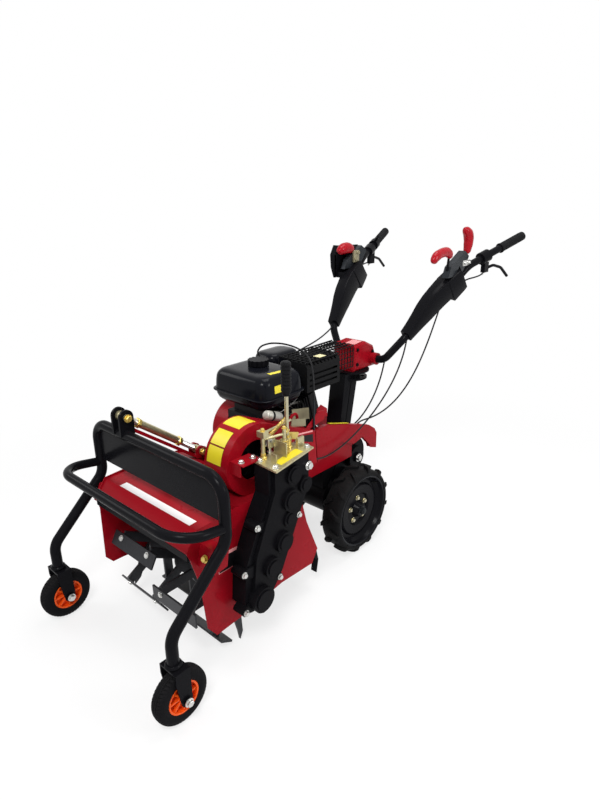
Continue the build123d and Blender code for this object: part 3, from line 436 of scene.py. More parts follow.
# A bar from the middle to the shoulder: offset, radius, half width at its top and at its foot
BAR_STATIONS = [(1, 171.9, 6.5, 8.5), (12, 172.2, 6.5, 9), (24, 171.6, 6.6, 9.4), (33, 169.4, 7, 10),
                (38, 165, 7.4, 10.6), (40.3, 156, 7.6, 10.8)]
BAR_COUNT, BAR_SLANT, BAR_MIDDLE, BAR_R = 24, math.tan(math.radians(32)), 20, 166
BAR_FOOT_DEPTH, BAR_WAIST_DEPTH = 15, 3


def tyre_bar(centre, i):
    """Bar number i of a drive tyre, in turn on one half and the other."""
    side = 1 if i % 2 else -1
    base_turn = 2 * math.pi * i / BAR_COUNT
    rings = []
    for s, r, top, foot in BAR_STATIONS:
        lean = BAR_SLANT * (s - BAR_MIDDLE) / BAR_R
        half_line = ((r - BAR_FOOT_DEPTH, foot), (r - BAR_WAIST_DEPTH, (top + foot) / 2), (r, top))
        ring = []
        for r_here, half in half_line + tuple((r_here, -half) for r_here, half in reversed(half_line)):
            t = base_turn + lean + half / BAR_R
            ring.append(centre + Vector((side * s, -r_here * math.sin(t), r_here * math.cos(t))))
        rings.append(ring)
    return skin(rings)


def add_drive_wheel(side_name, sx):
    x = sx * WHEEL_X
    out = (sx, 0, 0)
    body = f"drive_wheel_{side_name}"
    centre = Vector((x, WHEEL_Y, WHEEL_Z))
    tyre = Shape().turned(centre, X, CARCASS, 120).open_ends()
    for i in range(BAR_COUNT):
        tyre.add(*tyre_bar(centre, i))
    tyre = tyre.done(f"drive_tyre_bars_{side_name}", M["tyre_rubber"], "tyre_rubber", body, 38)
    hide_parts(f"drive_tyre_{side_name}")
    face_x = x + sx * HUB_OUT
    hub = Shape().bolt((face_x, WHEEL_Y, WHEEL_Z), out, 24, 12)
    hub.turned((face_x + sx * 11, WHEEL_Y, WHEEL_Z), out, [(0, 7.5), (5, 7.5), (6, 6.5)], 16)
    hub.done(f"hub_nut_{side_name}", M["cast_grey"], "cast_grey", body)
    studs = Shape()
    for i in range(STUD_COUNT):
        a = 2 * math.pi * i / STUD_COUNT + STUD_TURN
        spot = (x + sx * STUD_OUT, WHEEL_Y + STUD_R * math.cos(a), WHEEL_Z + STUD_R * math.sin(a))
        studs.bolt(spot, out, *M8)
    studs.done(f"hub_bolts_{side_name}", M["lever_steel"], "lever_steel", body)
    edge = Shape().turned((x + sx * EDGE_OUT, WHEEL_Y, WHEEL_Z), out,
                          [(0, 132.8), (2.2, 133.4), (3.6, 135.5), (4, 138), (3.2, 140.6), (0.5, 141.4)], 120)
    edge.open_ends().done(f"rim_edge_{side_name}", M["black_gloss"], "black_gloss", body)
    valve = Shape().turned((x + sx * VALVE_OUT, WHEEL_Y + 90, WHEEL_Z + 78), (sx, 0.3, 0.2),
                           [(0, 5), (3, 4.6), (4, 3), (16, 3), (20, 2.6)], 12)
    valve.done(f"tyre_valve_{side_name}", M["belt_rubber"], "belt_rubber", body)


for side_name, sx in SIDES:
    add_drive_wheel(side_name, sx)


# Belt guard: three stickers round its rim, each on an edge of its own, and the bolts of its bracket
GUARD_Y, GUARD_Z, GUARD_R = 419.0, 568.0, 111.0
GUARD_STICKER_STEPS = 14
# Sides of each sticker along X, and where it starts and ends round the rim in degrees
GUARD_STICKERS = ((99, 169, 76, 110), (102, 164, 120, 146), (103, 164, 148.5, 175))


def guard_sticker(name, x0, x1, a0, a1, mat, lift):
    rings = []
    for k in range(GUARD_STICKER_STEPS + 1):
        a = math.radians(a0 + (a1 - a0) * k / GUARD_STICKER_STEPS)
        section = ((x0, GUARD_R), (x0, GUARD_R + lift), (x1, GUARD_R + lift), (x1, GUARD_R))
        rings.append([(x, GUARD_Y + r * math.cos(a), GUARD_Z + r * math.sin(a)) for x, r in section])
    return Shape().add(*skin(rings)).done(name, mat, "red_paint")


for k, (x0, x1, a0, a1) in enumerate(GUARD_STICKERS):
    guard_sticker(f"guard_label_edge_{k}", x0 - 1, x1 + 1, a0 - 0.6, a1 + 0.6, BLACK_LABEL if k else YELLOW, 0.25)
    guard_sticker(f"guard_label_{k}", x0, x1, a0, a1, YELLOW, 0.5)

bracket_bolts = Shape()
for y in (380, 336):
    bracket_bolts.bolt((222, y, 598), Z, *M8)
bracket_bolts.done("guard_bracket_bolts", BOLT, "zinc")


# Stickers on flat faces. HOOD_SLOPE, FENDER_SLOPE and COVER_SLOPE are the ways that three of the faces look; a
# sticker is raised off its points by LIFT times the way that its face looks.
LIFT = 0.02
HOOD_SLOPE = Vector((0, -8, 138)).normalized()
FENDER_SLOPE = Vector((0, 42, 146))
COVER_SLOPE = Vector((0, -6, 75))


def sticker(name, mat, slot, way, corners, thick=0.5):
    outline = [Vector(c) + Vector(way) * LIFT for c in corners]
    Shape().slab(outline, Vector(way).normalized() * thick).done(name, mat, slot)


sticker("plate_label", YELLOW, "zinc", Z, [(284, 404, 595), (312, 404, 595), (298, 512, 595), (268, 512, 595)])
sticker("side_label_edge", PINK, "red_paint", X,
        [(233, 222, 294), (233, 340, 294), (233, 340, 350), (233, 222, 356)], 0.4)
sticker("side_label", BLACK_LABEL, "red_paint", X,
        [(233, 224, 296), (233, 338, 296), (233, 338, 340), (233, 224, 345)], 0.7)
sticker("hood_stripe", WHITE, "red_paint", HOOD_SLOPE,
        [(-153, 165, 464.2), (193, 165, 464.2), (193, 190, 465.6), (-153, 190, 465.6)])
for name, x0, x1 in (("fender_stripe", 117, 129), ("fender_stripe_right", -129, -117)):
    sticker(name, YELLOW, "red_paint", FENDER_SLOPE,
            [(x0, 846, 532.6), (x1, 846, 532.6), (x1, 960, 499.8), (x0, 960, 499.8)])
sticker("tank_top_label", YELLOW, "black_gloss", Z,
        [(54, 612, 762.2), (70, 612, 761.8), (78, 672, 761), (62, 672, 762.2)])
sticker("tank_side_label", YELLOW, "black_gloss", X,
        [(103.4, 597, 708), (103.4, 659, 708), (101.4, 659, 732), (101.4, 597, 732)], 0.9)
# Label on the column cover's top, pale red partly as a painted highlight where the cover's top is lit
sticker("cover_label_and_highlight", PINK, "red_paint", COVER_SLOPE,
        [(-2, 1100, 762.8), (42, 1100, 762.8), (42, 1150, 767), (-2, 1150, 767)])
sticker("muffler_label", CREAM, "muffler_black", Z,
        [(53, 843, 773.2), (83, 843, 773.2), (83, 880, 773.2), (53, 880, 773.2)])
sticker("guard_side_line", PINK, "red_paint", X,
        [(190, 575, 590), (190, 680, 575), (190, 680, 580), (190, 575, 596)])
sticker("guard_side_label", BLACK_LABEL, "red_paint", X,
        [(190, 614, 562), (190, 682, 538), (190, 682, 566), (190, 614, 580)])


# Shift plate: its bolts, and the springs, yoke, arms and bosses of the linkage on it
PLATE_TOP = 595.0
LEVER_X, LEVER_Y = 242, 503
YOKE_X, YOKE_Y = 228, 443
POST_X, POST_Y = 262, 470
PIVOT_X, PIVOT_Y = 242, 403


def add_plate_bolts():
    bolts = Shape()
    for x, y in ((313, 380), (285, 543), (248, 384), (240, 548)):
        bolts.bolt((x, y, PLATE_TOP), Z, *M8)
    bolts.bolt((302, 531, 544), X, 19, 9)
    bolts.done("plate_bolts", BOLT, "zinc")


def add_linkage():
    springs = Shape()
    springs.spring((POST_X, POST_Y, PLATE_TOP + 2), (POST_X, POST_Y, PLATE_TOP + 42), 14, 1.6, 7)
    springs.spring((240, 433, PLATE_TOP + 60), (205, 540, PLATE_TOP + 74), 5, 1.0, 22)
    springs.done("linkage_springs", GOLD, "zinc")

    yoke = Shape()
    for x in (YOKE_X - 8, YOKE_X + 8):
        yoke.block(x - 1.5, x + 1.5, 428, 458, PLATE_TOP + 20, PLATE_TOP + 52, 1.0)
    yoke.block(YOKE_X - 10, YOKE_X + 10, 436, 450, PLATE_TOP + 18, PLATE_TOP + 23, 1.0)
    yoke.turned((YOKE_X, YOKE_Y, PLATE_TOP), Z, [(0, 8), (4, 8), (4, 5), (20, 5)], 16)
    yoke.turned((YOKE_X - 14, YOKE_Y, PLATE_TOP + 40), X, [(0, 7), (3, 7), (3, 4), (26, 4), (26, 6), (30, 6)], 14)
    yoke.done("linkage_yoke", BOLT, "zinc")

    arms = Shape()
    arms.block(236, 240, 500, 556, PLATE_TOP + 18, PLATE_TOP + 40, 1.2, Matrix.Rotation(math.radians(-18), 4, "X"))
    arms.block(250, 262, 474, 500, PLATE_TOP + 58, PLATE_TOP + 64, 1.5, Matrix.Rotation(math.radians(25), 4, "Z"))
    arms.turned((LEVER_X, LEVER_Y, PLATE_TOP), Z, [(0, 16), (5, 16), (7, 13), (30, 13), (34, 9), (40, 9)], 24)
    arms.turned((PIVOT_X, PIVOT_Y, PLATE_TOP), Z, [(0, 11), (4, 11), (6, 8), (16, 7)], 18)
    arms.turned((POST_X, POST_Y, PLATE_TOP), Z, [(0, 17), (3, 17), (4, 12)], 20)
    arms.bolt((POST_X, POST_Y, PLATE_TOP + 76), Z, *M6)
    arms.bolt((PIVOT_X, PIVOT_Y, PLATE_TOP + 84), Z, *M6)
    arms.bolt((282, 450, PLATE_TOP + 30), Y, *M6)
    arms.done("linkage_arms", GOLD, "zinc")


add_plate_bolts()
add_linkage()


# Capsule on the guard's top with its strap, and the plates behind it
CAPSULE_WAY = Vector((0, 70, -26))
capsule = Shape().turned((150, 505, 674), CAPSULE_WAY,
                         [(0, 9), (2, 13), (6, 15.5), (58, 15.5), (63, 13), (70, 12), (74, 9)], 28)
capsule.done("grey_capsule", GREY, "zinc")
strap = Shape().turned((150, 526.5, 666), CAPSULE_WAY, [(0, 15.6), (0.2, 16.4), (8, 16.4), (8.2, 15.6)], 28)
strap.done("capsule_strap", M["muffler_black"], "muffler_black")
plates = Shape()
plates.slab([(168, 598, 612), (168, 668, 594), (168, 668, 620), (168, 604, 636)], (3, 0, 0))
plates.slab([(112, 664, 600), (112, 752, 580), (112, 748, 622), (112, 664, 638)], (2.5, 0, 0))
plates.done("throttle_plates", TAN, "zinc")


# Engine: bolts of the crankcase cover, of the feet and of the tank
CRANK_X, CRANK_Y, CRANK_Z, CRANK_BOLT_R = 89, 640, 531, 64
FOOT_TOP, TANK_FLANGE = 442, 690
engine_bolts = Shape()
for a in range(20, 380, 60):
    t = math.radians(a)
    engine_bolts.bolt((CRANK_X, CRANK_Y + CRANK_BOLT_R * math.cos(t), CRANK_Z + CRANK_BOLT_R * math.sin(t)), X, *M6)
for x in (-78, 80):
    for y in (560, 744):
        engine_bolts.bolt((x, y, FOOT_TOP), Z, *M8)
for x in (-110, 92):
    for y in (585, 735):
        engine_bolts.bolt((x, y, TANK_FLANGE), -Z, 10, 5)
engine_bolts.done("engine_bolts", BOLT, "engine_aluminium")


# Handles: ribs, collars and end caps of the grips, bolts and cable adjusters of the lever brackets
GRIP_END, GRIP_ROOT = Vector((344.0, 1861.0, 1139.0)), Vector((262.0, 1560.0, 1037.0))
GRIP_WAY = (GRIP_ROOT - GRIP_END).normalized()
RIB_COUNT, RIB_START, RIB_PITCH = 30, 8, 4.2
grips = Shape()
fittings = Shape()
for sx in (1, -1):
    end = mirrored(GRIP_END, sx)
    way = mirrored(GRIP_WAY, sx)
    for i in range(RIB_COUNT):
        grips.turned(end + way * (RIB_START + i * RIB_PITCH), way, [(0, 17.9), (0.8, 18.6), (2.2, 18.6), (3, 17.9)], 28)
    grips.turned(end + way * 134, way, [(0, 18), (1, 20.5), (5, 20.5), (6, 18)], 28)
    grips.turned(end - way * 5.5, way, [(0, 13), (1.5, 17), (4, 18.2)], 28)
    fittings.bolt(mirrored((302, 1650, 1050), sx), (0, -0.3, 1), *M6)
    fittings.turned(mirrored((288, 1662, 1012), sx), mirrored((-0.1, -0.8, -0.6), sx),
                    [(0, 5.5), (12, 5.5), (12, 3.5), (26, 3.5)], 14)
grips.turned((LEVER_X, LEVER_Y, 758), Z, [(0, 9), (1, 11.4), (4, 11.4), (5, 9)], 20)
grips.done("grip_ribs", M["grip_rubber"], "grip_rubber")
fittings.done("handle_fittings", BOLT, "zinc")


def drawn_box(box, wall, corner):
    """Box of rounded rings: wall holds (height, how far the sides are drawn in), corner the radius there."""
    x0, x1, y0, y1 = box
    return Shape().add(*skin([rounded_ring(x0 + pull, x1 - pull, y0 + pull, y1 - pull, corner(pull), z)
                              for z, pull in wall]))


# Fuel tank: two drawn shells with soft shoulders and a rolled flange, and the neck under the cap
TANK_BOX = (-146, 104, 542, 746)
TANK_WALL = [(648, 40), (649, 28), (654, 15), (662, 7), (674, 2), (687, 0), (687.5, -6), (689, -7.6), (691, -7.6),
             (692.5, -6), (693, 0), (706, 0.4), (724, 1.6), (738, 3.6), (746, 6.5), (752, 10.5), (757, 16),
             (760, 22.5), (761.6, 31), (762.2, 44)]
tank = drawn_box(TANK_BOX, TANK_WALL, lambda pull: 38 - pull * 0.4)
tank.turned((-40, 665, 760), Z, [(0, 30), (3, 29), (4.8, 27)], 40)
tank = tank.done("tank_shells", M["black_gloss"], "black_gloss", angle=50)
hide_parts("fuel_tank")

# Air cleaner: low rounded box with a seam under its lid, on its elbow
AIR_BOX = (-188, -80, 774, 930)
AIR_WALL = [(680, 4), (682, 1), (700, 0), (722, 0), (723, 2.5), (725, 2.5), (726, -1.5), (738, -1), (750, 1),
            (758, 5), (763, 12), (765, 22), (765.5, 40)]
air = drawn_box(AIR_BOX, AIR_WALL, lambda pull: max(8, 34 - pull * 0.5))
air.block(-150, -76, 800, 850, 642, 684, 8)
air = air.done("air_cleaner_case", M["black_gloss"], "black_gloss", angle=50)
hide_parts("air_cleaner")


# Covers of the rising handle tubes: a bulging shell, then the wider box round the lever's foot
COVER_START, COVER_TOP_CUT, COVER_FOOT_CUT = Vector((176, 1240, 783)), 7, 4
# Distance up the tube, half width, lower and upper reach across it
COVER_STATIONS = ((12, 21, -17, 24), (50, 22, -17, 31), (90, 23, -18, 42), (130, 25, -19, 54), (170, 26, -20, 61),
                  (215, 27, -22, 63), (255, 29, -25, 62), (268, 29, -27, 61), (270, 32, -46, 60),
                  (330, 33, -46, 52), (348, 33, -44, 46))


def cover_sections(sx):
    """Rings of the cover: a rectangle at each station, with its corners cut in two steps."""
    way = (GRIP_ROOT - COVER_START).normalized()
    wide = (X - way * way.x).normalized()
    deep = wide.cross(way)
    rings = []
    for along, half, low, high in COVER_STATIONS:
        ring = []
        for u, v in ((-half, low), (half, low), (half, high), (-half, high)):
            cut = COVER_TOP_CUT if v == high else COVER_FOOT_CUT
            su, sv = math.copysign(1, u), 1 if v == high else -1
            corner = [(u - su * cut, v), (u - su * cut * 0.3, v - sv * cut * 0.3), (u, v - sv * cut)]
            if (su > 0) != (sv < 0):
                corner.reverse()
            for a, b in corner:
                ring.append(mirrored(COVER_START + way * along + wide * a + deep * b, sx))
        rings.append(ring)
    return rings


for side_name, sx in SIDES:
    shell = Shape().add(*skin(cover_sections(sx)))
    shell = shell.done(f"handle_cover_shell_{side_name}", M["black_paint"], "black_paint", angle=24)
    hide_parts(f"handle_cover_{side_name}")


# Red knobs of the control levers, and their stems
KNOB_X, KNOB_STEPS, KNOB_LINE_STEPS = 250, 16, 5
RIPPLE, RIPPLE_TURN = 0.25, 1.25
# Each knob: its X, places (y, z) along it with the radius there, and its width across X for a height of one
KNOBS = (
    (KNOB_X, [(1291, 1068, 7), (1295, 1074, 14), (1312, 1089, 18.5), (1345, 1099, 18), (1383, 1102, 18.5),
              (1408, 1094, 17.5), (1418, 1083, 13), (1420, 1076, 7)], 0.85),
    (KNOB_X, [(1556, 1084, 8), (1558, 1091, 14), (1563, 1112, 18), (1565, 1136, 20), (1558, 1158, 21),
              (1543, 1170, 18), (1530, 1175, 13), (1523, 1176, 7)], 0.95),
    (-KNOB_X, [(1368, 1075, 8), (1373, 1080, 16), (1393, 1088, 23), (1420, 1092, 24), (1444, 1087, 22),
               (1459, 1077, 15), (1463, 1070, 8)], 0.95),
)


def knob_rings(x, line, flat):
    """A soft moulded knob along its line, with a slight ripple."""
    pts = smooth([(x, y, z) for y, z, r in line], KNOB_LINE_STEPS)
    radii = [v.x for v in smooth([(r, 0, 0) for y, z, r in line], KNOB_LINE_STEPS)]
    rings = []
    for i, q in enumerate(pts):
        way = (pts[min(i + 1, len(pts) - 1)] - pts[max(i - 1, 0)]).normalized()
        other = way.cross(X)
        r = radii[i] + RIPPLE * math.sin(i * RIPPLE_TURN)
        turns = [2 * math.pi * k / KNOB_STEPS for k in range(KNOB_STEPS)]
        rings.append([q + X * (math.cos(t) * r * flat) + other * (math.sin(t) * r) for t in turns])
    return rings


knobs = Shape()
for x, line, flat in KNOBS:
    knobs.add(*skin(knob_rings(x, line, flat)))
knobs = knobs.done("lever_knobs", M["red_plastic"], "red_plastic", angle=60)
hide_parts("control_levers")
stems = Shape()
stems.pipe([(KNOB_X, 1404, 1030), (KNOB_X, 1412, 1084)], 5)
stems.pipe([(KNOB_X, 1540, 1050), (KNOB_X, 1558, 1092)], 5)
stems.pipe([(-276, 1440, 1010), (-262, 1437, 1030), (-KNOB_X, 1432, 1080)], 5)
stems.done("lever_stems", M["black_paint"], "black_paint")


# Gear lever: ribbed rubber sleeve over its grip
SLEEVE_Z, SLEEVE_RIBS, SLEEVE_PITCH = 764, 8, 11
SLEEVE_RIB = ((8, 13.2), (9.5, 15.5), (15.5, 15.5), (17, 13.2))
sleeve_line = [(0, 11), (6, 13)]
for i in range(SLEEVE_RIBS):
    sleeve_line += [(a + i * SLEEVE_PITCH, r) for a, r in SLEEVE_RIB]
sleeve_line += [(96, 13), (98, 9), (98.6, 4)]
sleeve = Shape().turned((LEVER_X, LEVER_Y, SLEEVE_Z), Z, sleeve_line, 28)
sleeve.done("lever_grip_sleeve", M["grip_rubber"], "grip_rubber")


# Right handle: folded plate behind its knob, on a foot on the handle cover, and the latch on the gate's inner
# face. Left handle: the strip with two bolts on the gate's outer face.
PLATE_X, FOLD_X, FOLD_Y = -278, -304, 1375
far_plate = Shape()
far_plate.slab([(PLATE_X, FOLD_Y, 966), (PLATE_X, FOLD_Y, 1064), (PLATE_X, 1397, 1103), (PLATE_X, 1537, 1099),
                (PLATE_X, 1549, 1084), (PLATE_X, 1527, 996)], (4, 0, 0))
far_plate.slab([(-284, FOLD_Y, 966), (-274, FOLD_Y, 966), (-274, FOLD_Y, 1064), (FOLD_X, FOLD_Y, 1064),
                (-300, FOLD_Y, 1010)], (0, 3, 0))
far_plate.slab([(FOLD_X, FOLD_Y, 1064), (-274, FOLD_Y, 1064), (-274, 1397, 1103), (FOLD_X, 1397, 1103)], (0, 3, -1))
far_plate.block(-277, -232, 1386, 1420, 966, 990, 2)
far_plate.done("right_gate_cover", M["black_paint"], "black_paint")
latch = Shape()
latch.block(-237, -227, 1448, 1488, 1028, 1080, 3)
for y, z, r in ((1476, 1070, 9), (1460, 1042, 7)):
    latch.turned((-229, y, z), X, [(0, r), (4, r), (5, r - 2), (9, r - 2)], 20)
latch.done("right_gate_latch", TAN, "zinc")
left_latch = Shape()
left_latch.block(262, 268, 1500, 1560, 1040, 1062, 2)
for y in (1512, 1546):
    left_latch.bolt((268, y, 1051), X, 10, 5)
left_latch.done("left_gate_latch", BOLT, "zinc")


# Muffler: wire cage that runs on over its guard, and the drum in it
CAGE_Z, CAGE_FOOT_Z, CAGE_X, CAGE_Y0, CAGE_Y1 = 769, 690, -44, 770, 944
CAGE_ALONG, CAGE_ACROSS, CAGE_PITCH = 7, 9, 21
TOP_WIRE_R, SIDE_WIRE_R = 2.9, 1.7


def add_cage():
    cage = Shape()
    for i in range(CAGE_ALONG):
        x = -40 + i * CAGE_PITCH
        back = (x, 1064, 775) if x < 60 else (x, CAGE_Y1, CAGE_Z)
        cage.pipe([(x, CAGE_Y0, CAGE_Z), back], TOP_WIRE_R, 6)
    for i in range(CAGE_ACROSS):
        y = 772 + i * CAGE_PITCH
        cage.pipe([(CAGE_X, y, 770.5), (88, y, 770.5)], TOP_WIRE_R, 6)
    cage.pipe([(CAGE_X, CAGE_Y0, CAGE_Z), (CAGE_X, CAGE_Y0, CAGE_FOOT_Z), (CAGE_X, CAGE_Y1, CAGE_FOOT_Z),
               (CAGE_X, CAGE_Y1, CAGE_Z)], SIDE_WIRE_R, 6)
    for y in (800, 845, 890, 930):
        cage.pipe([(CAGE_X, y, CAGE_Z), (CAGE_X, y, CAGE_FOOT_Z)], SIDE_WIRE_R, 6)
    cage.done("cage_wires", M["muffler_black"], "muffler_black")
    drum = Shape().turned((-4, 780, 727), Y, [(0, 20), (3, 33), (7, 36), (150, 36), (154, 33), (157, 20)], 40)
    for y in (802, 896):
        drum.block(-4, 62, y, y + 14, 716, 734, 2)
    drum.done("silencer_drum", M["muffler_black"], "muffler_black")


add_cage()


# Rotor: bolts that hold the bars on their arms
ROTOR_Y, ROTOR_Z, BAR_FACE = 320.0, 190.0, 179.0
ROTOR_BARS, BOLT_INSET, BOLT_LAG, BOLT_SINK = 6, 40, -9, 0.3
# Each half of the rotor: where it starts and ends along X, and the turn of its first bar in degrees
ROTOR_HALVES = ((-216.0, 6.0, 31.0), (10.0, 216.0, 1.0))
bar_bolts = Shape()
for x0, x1, turn0 in ROTOR_HALVES:
    for i in range(ROTOR_BARS):
        t = math.radians(turn0 + i * 360 / ROTOR_BARS)
        out = Vector((0, -math.cos(t), -math.sin(t)))
        across = Vector((0, -math.sin(t), math.cos(t)))
        for x in (x0 + BOLT_INSET, x1 - BOLT_INSET):
            spot = Vector((x, ROTOR_Y, ROTOR_Z)) + out * (BAR_FACE - BOLT_SINK) + across * BOLT_LAG
            bar_bolts.bolt(spot, out, 13, 4)
bar_bolts.done("bar_bolts", BOLT, "zinc", "rotor")


# Gear case: bolts in its ears and the boss under the side plug; bolts of the gussets and of the hood's corners
CASE_FACE_X = 296
case_bolts = Shape()
for y, z in ((318, 425), (262, 300), (262, 170), (404, 216), (492, 392)):
    case_bolts.bolt((CASE_FACE_X, y, z), X, *M8)
case_bolts.done("case_bolts", BOLT, "zinc")
plug_boss = Shape().turned((289, 531, 544), X, [(0, 17), (12, 16), (13, 14)], 28)
plug_boss.done("plug_boss", M["cast_black"], "cast_black")
gusset_bolts = Shape()
for sx in (1, -1):
    gusset_bolts.bolt((sx * 262, 158, 394), (0, -0.955, 0.296), 15, 8)
    gusset_bolts.bolt((sx * 233.2, 196, 440), (sx, 0, 0), *M8)
gusset_bolts.done("gusset_bolts", GOLD, "zinc")


# Under the tank: carburettor, throttle wires with their spring, hoses
CARB_X = 3
carb = Shape()
carb.block(-24, 30, 720, 766, 624, 668, 5)
carb.turned((CARB_X, 764, 645), Y, [(0, 19), (8, 19), (9, 16), (26, 16)], 26)
carb.turned((CARB_X, 742, 610), Z, [(0, 14), (3, 17), (14, 17), (15, 12)], 26)
carb.bolt((CARB_X, 742, 610), -Z, 10, 5)
carb.done("carburettor", M["cast_grey"], "cast_grey")
wires = Shape()
wires.spring((60, 700, 632), (64, 762, 628), 4.5, 1.0, 16)
wires.pipe(smooth([(84, 640, 596), (96, 668, 612), (90, 700, 622), (60, 700, 632)]), 1.6, 8)
wires.pipe(smooth([(96, 560, 640), (98, 620, 636), (92, 690, 648), (60, 760, 650)]), 1.4, 8)
wires.done("throttle_wires", SPRING, "zinc")
hoses = Shape()
hoses.pipe(smooth([(40, 640, 650), (60, 668, 632), (52, 706, 622), (20, 730, 626)]), 4, 12)
hoses.pipe(smooth([(24, 752, 640), (60, 758, 634), (90, 748, 616), (84, 704, 584), (78, 668, 560)]), 3.5, 12)
hoses.pipe(smooth([(-60, 640, 650), (-92, 664, 632), (-88, 706, 622), (-40, 740, 640)]), 3.5, 12)
hoses.done("engine_hoses", M["belt_rubber"], "belt_rubber")


# Top link: threads at both ends, lock nuts and the heads of the cross bolts
LINK_A, LINK_B = Vector((-150, 199, 686)), Vector((-150, 465, 486))
THREAD_PITCH, LINK_EAR_X = 3, 32
link_way = (LINK_B - LINK_A).normalized()
link_len = (LINK_B - LINK_A).length
threads = Shape()
for a0, a1 in ((18, 68), (232, link_len - 18)):
    for i in range(int((a1 - a0) / THREAD_PITCH)):
        threads.turned(LINK_A + link_way * (a0 + i * THREAD_PITCH), link_way,
                       [(0, 8.9), (0.9, 10), (1.5, 10), (2.4, 8.9)], 18)
threads.done("link_threads", BOLT, "zinc")
link_nuts = Shape()
for a in (56, 236):
    link_nuts.turned(LINK_A + link_way * a, link_way, [(0, 15), (1, 16.5), (11, 16.5), (12, 15)], 6)
for spot in (LINK_A, LINK_B):
    for sx in (-1, 1):
        link_nuts.bolt(spot + Vector((sx * LINK_EAR_X, 0, 0)), (sx, 0, 0), *M10)
link_nuts.done("link_nuts", GOLD, "zinc")


# Column and transmission case: bolts of the column's flange, of the case's two bosses and of the column's cover
FLANGE_X, FLANGE_Y, FLANGE_Z, FLANGE_BOLT_R = 8, 1128, 629, 46
FINAL_BOSS, INPUT_BOSS = Vector((103.5, 1062, 318)), Vector((83.5, 1000, 246))
COVER_LEFT, COVER_RIGHT = 55, -50
column_bolts = Shape()
for a in range(30, 390, 90):
    t = math.radians(a)
    column_bolts.bolt((FLANGE_X + FLANGE_BOLT_R * math.cos(t), FLANGE_Y + FLANGE_BOLT_R * math.sin(t), FLANGE_Z),
                      -Z, *M8)
for sx in (1, -1):
    column_bolts.bolt(mirrored(FINAL_BOSS, sx), (sx, 0, 0), 22, 9)
    column_bolts.bolt(mirrored(INPUT_BOSS, sx), (sx, 0, 0), *M10)
column_bolts.done("frame_bolts", BOLT, "zinc")
cover_bolts = Shape()
for y, z in ((1104, 686), (1104, 744), (1204, 720)):
    cover_bolts.bolt((COVER_LEFT, y, z), X, 10, 4)
    cover_bolts.bolt((COVER_RIGHT, y, z), -X, 10, 4)
cover_bolts.done("cover_bolts", M["black_paint"], "black_paint")

# Behind the belt guard: a red bracket and the hook of the throttle
red_bits = Shape()
red_bits.slab([(119, 782, 576), (119, 840, 566), (119, 838, 596), (119, 806, 618), (119, 784, 606)], (3, 0, 0))
red_bits.pipe(smooth([(150, 606, 606), (150, 622, 634), (150, 642, 638), (150, 650, 622), (150, 640, 610)]), 5, 10)
red_bits.done("throttle_bracket", M["red_paint"], "red_paint")


# Studio: white surroundings for the camera and for reflections, four soft lamps, and a pale floor that fades
# into white but keeps the shadow
AMBIENT = 0.45
LAMP_AIM = (0, 0, 0.4)
# Name, place in metres, size and power
LAMPS = (("key", (1.4, -2.2, 3.0), 0.9, 70), ("fill", (-2.6, -1.8, 2.4), 1.2, 22),
         ("top", (0.2, 0.6, 3.4), 1.6, 45), ("side", (2.8, 0.8, 1.8), 0.9, 28))
FLOOR_HALF = 60
FADE_FROM, FADE_TO, FADE_LEAST = 0.9, 2.2, 0.72


def joined(tree, operation, a, b):
    """Output of a Math node with two linked inputs."""
    math_node = node(tree, "ShaderNodeMath", operation=operation)
    tree.links.new(a, math_node.inputs[0])
    tree.links.new(b, math_node.inputs[1])
    return math_node.outputs["Value"]


def blend_shaders(tree, share, first, second):
    mix = node(tree, "ShaderNodeMixShader")
    tree.links.new(share, mix.inputs["Fac"])
    tree.links.new(first, mix.inputs[1])
    tree.links.new(second, mix.inputs[2])
    return mix.outputs["Shader"]


def add_world():
    world = bpy.data.worlds.new("studio")
    bpy.context.scene.world = world
    world.use_nodes = True
    tree = world.node_tree
    lit = tree.nodes["Background"]
    lit.inputs["Color"].default_value = (1, 1, 1, 1)
    lit.inputs["Strength"].default_value = AMBIENT
    shown = node(tree, "ShaderNodeBackground", {"Color": (1, 1, 1, 1), "Strength": 1.0})
    rays = node(tree, "ShaderNodeLightPath").outputs
    seen = joined(tree, "MAXIMUM", rays["Is Camera Ray"], rays["Is Transmission Ray"])
    seen = joined(tree, "MAXIMUM", seen, rays["Is Glossy Ray"])
    both = blend_shaders(tree, seen, lit.outputs["Background"], shown.outputs["Background"])
    tree.links.new(both, tree.nodes["World Output"].inputs["Surface"])


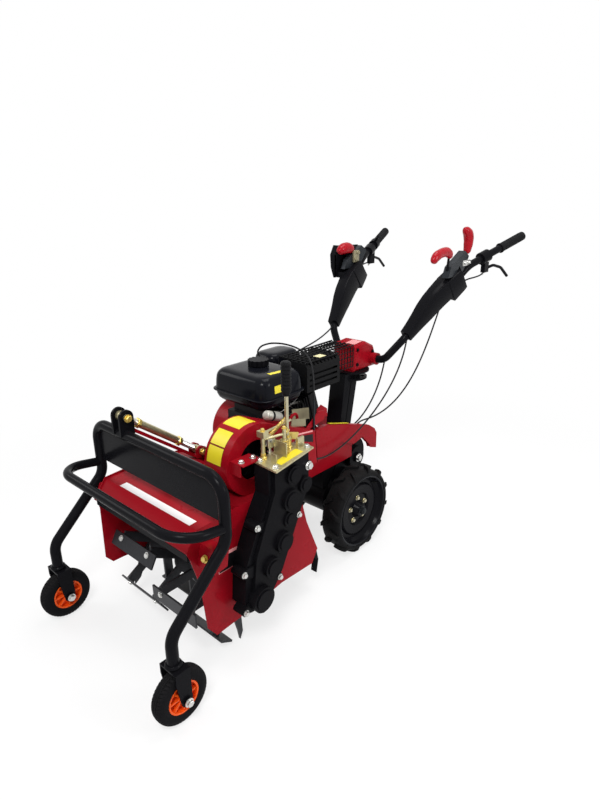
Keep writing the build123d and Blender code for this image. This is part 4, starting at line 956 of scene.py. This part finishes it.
def add_lamp(name, place, size, power):
    data = bpy.data.lights.new(name, "AREA")
    data.size = size
    data.energy = power
    o = bpy.data.objects.new(name, data)
    bpy.context.scene.collection.objects.link(o)
    o.location = place
    o.rotation_euler = (Vector(LAMP_AIM) - Vector(place)).to_track_quat("-Z", "Y").to_euler()


def floor_paper():
    paper = bpy.data.materials.new("floor_paper")
    paper.use_nodes = True
    tree = paper.node_tree
    matte = tree.nodes["Principled BSDF"]
    matte.inputs["Base Color"].default_value = (0.9, 0.9, 0.9, 1)
    matte.inputs["Roughness"].default_value = 0.8
    matte.inputs["Specular IOR Level"].default_value = 0.1
    glow = node(tree, "ShaderNodeEmission", {"Color": (1, 1, 1, 1), "Strength": 1.0})
    rays = node(tree, "ShaderNodeLightPath").outputs
    seen = joined(tree, "MAXIMUM", rays["Is Camera Ray"], rays["Is Glossy Ray"])
    coord = node(tree, "ShaderNodeTexCoord")
    far = node(tree, "ShaderNodeVectorMath", operation="LENGTH")
    tree.links.new(coord.outputs["Object"], far.inputs[0])
    fade = node(tree, "ShaderNodeMapRange", {"From Min": FADE_FROM, "From Max": FADE_TO, "To Min": FADE_LEAST,
                                             "To Max": 1.0}, interpolation_type="SMOOTHSTEP")
    tree.links.new(far.outputs["Value"], fade.inputs["Value"])
    share = joined(tree, "MULTIPLY", seen, fade.outputs["Result"])
    both = blend_shaders(tree, share, matte.outputs["BSDF"], glow.outputs["Emission"])
    tree.links.new(both, tree.nodes["Material Output"].inputs["Surface"])
    return paper


def add_floor():
    mesh = bpy.data.meshes.new("floor")
    corners = [(-FLOOR_HALF, -FLOOR_HALF, 0), (FLOOR_HALF, -FLOOR_HALF, 0), (FLOOR_HALF, FLOOR_HALF, 0),
               (-FLOOR_HALF, FLOOR_HALF, 0)]
    mesh.from_pydata(corners, [], [(0, 1, 2, 3)])
    floor = bpy.data.objects.new("floor", mesh)
    bpy.context.scene.collection.objects.link(floor)
    mesh.materials.append(floor_paper())


add_world()
for name, place, size, power in LAMPS:
    add_lamp(name, place, size, power)
add_floor()
bpy.context.scene.view_settings.view_transform = "Standard"
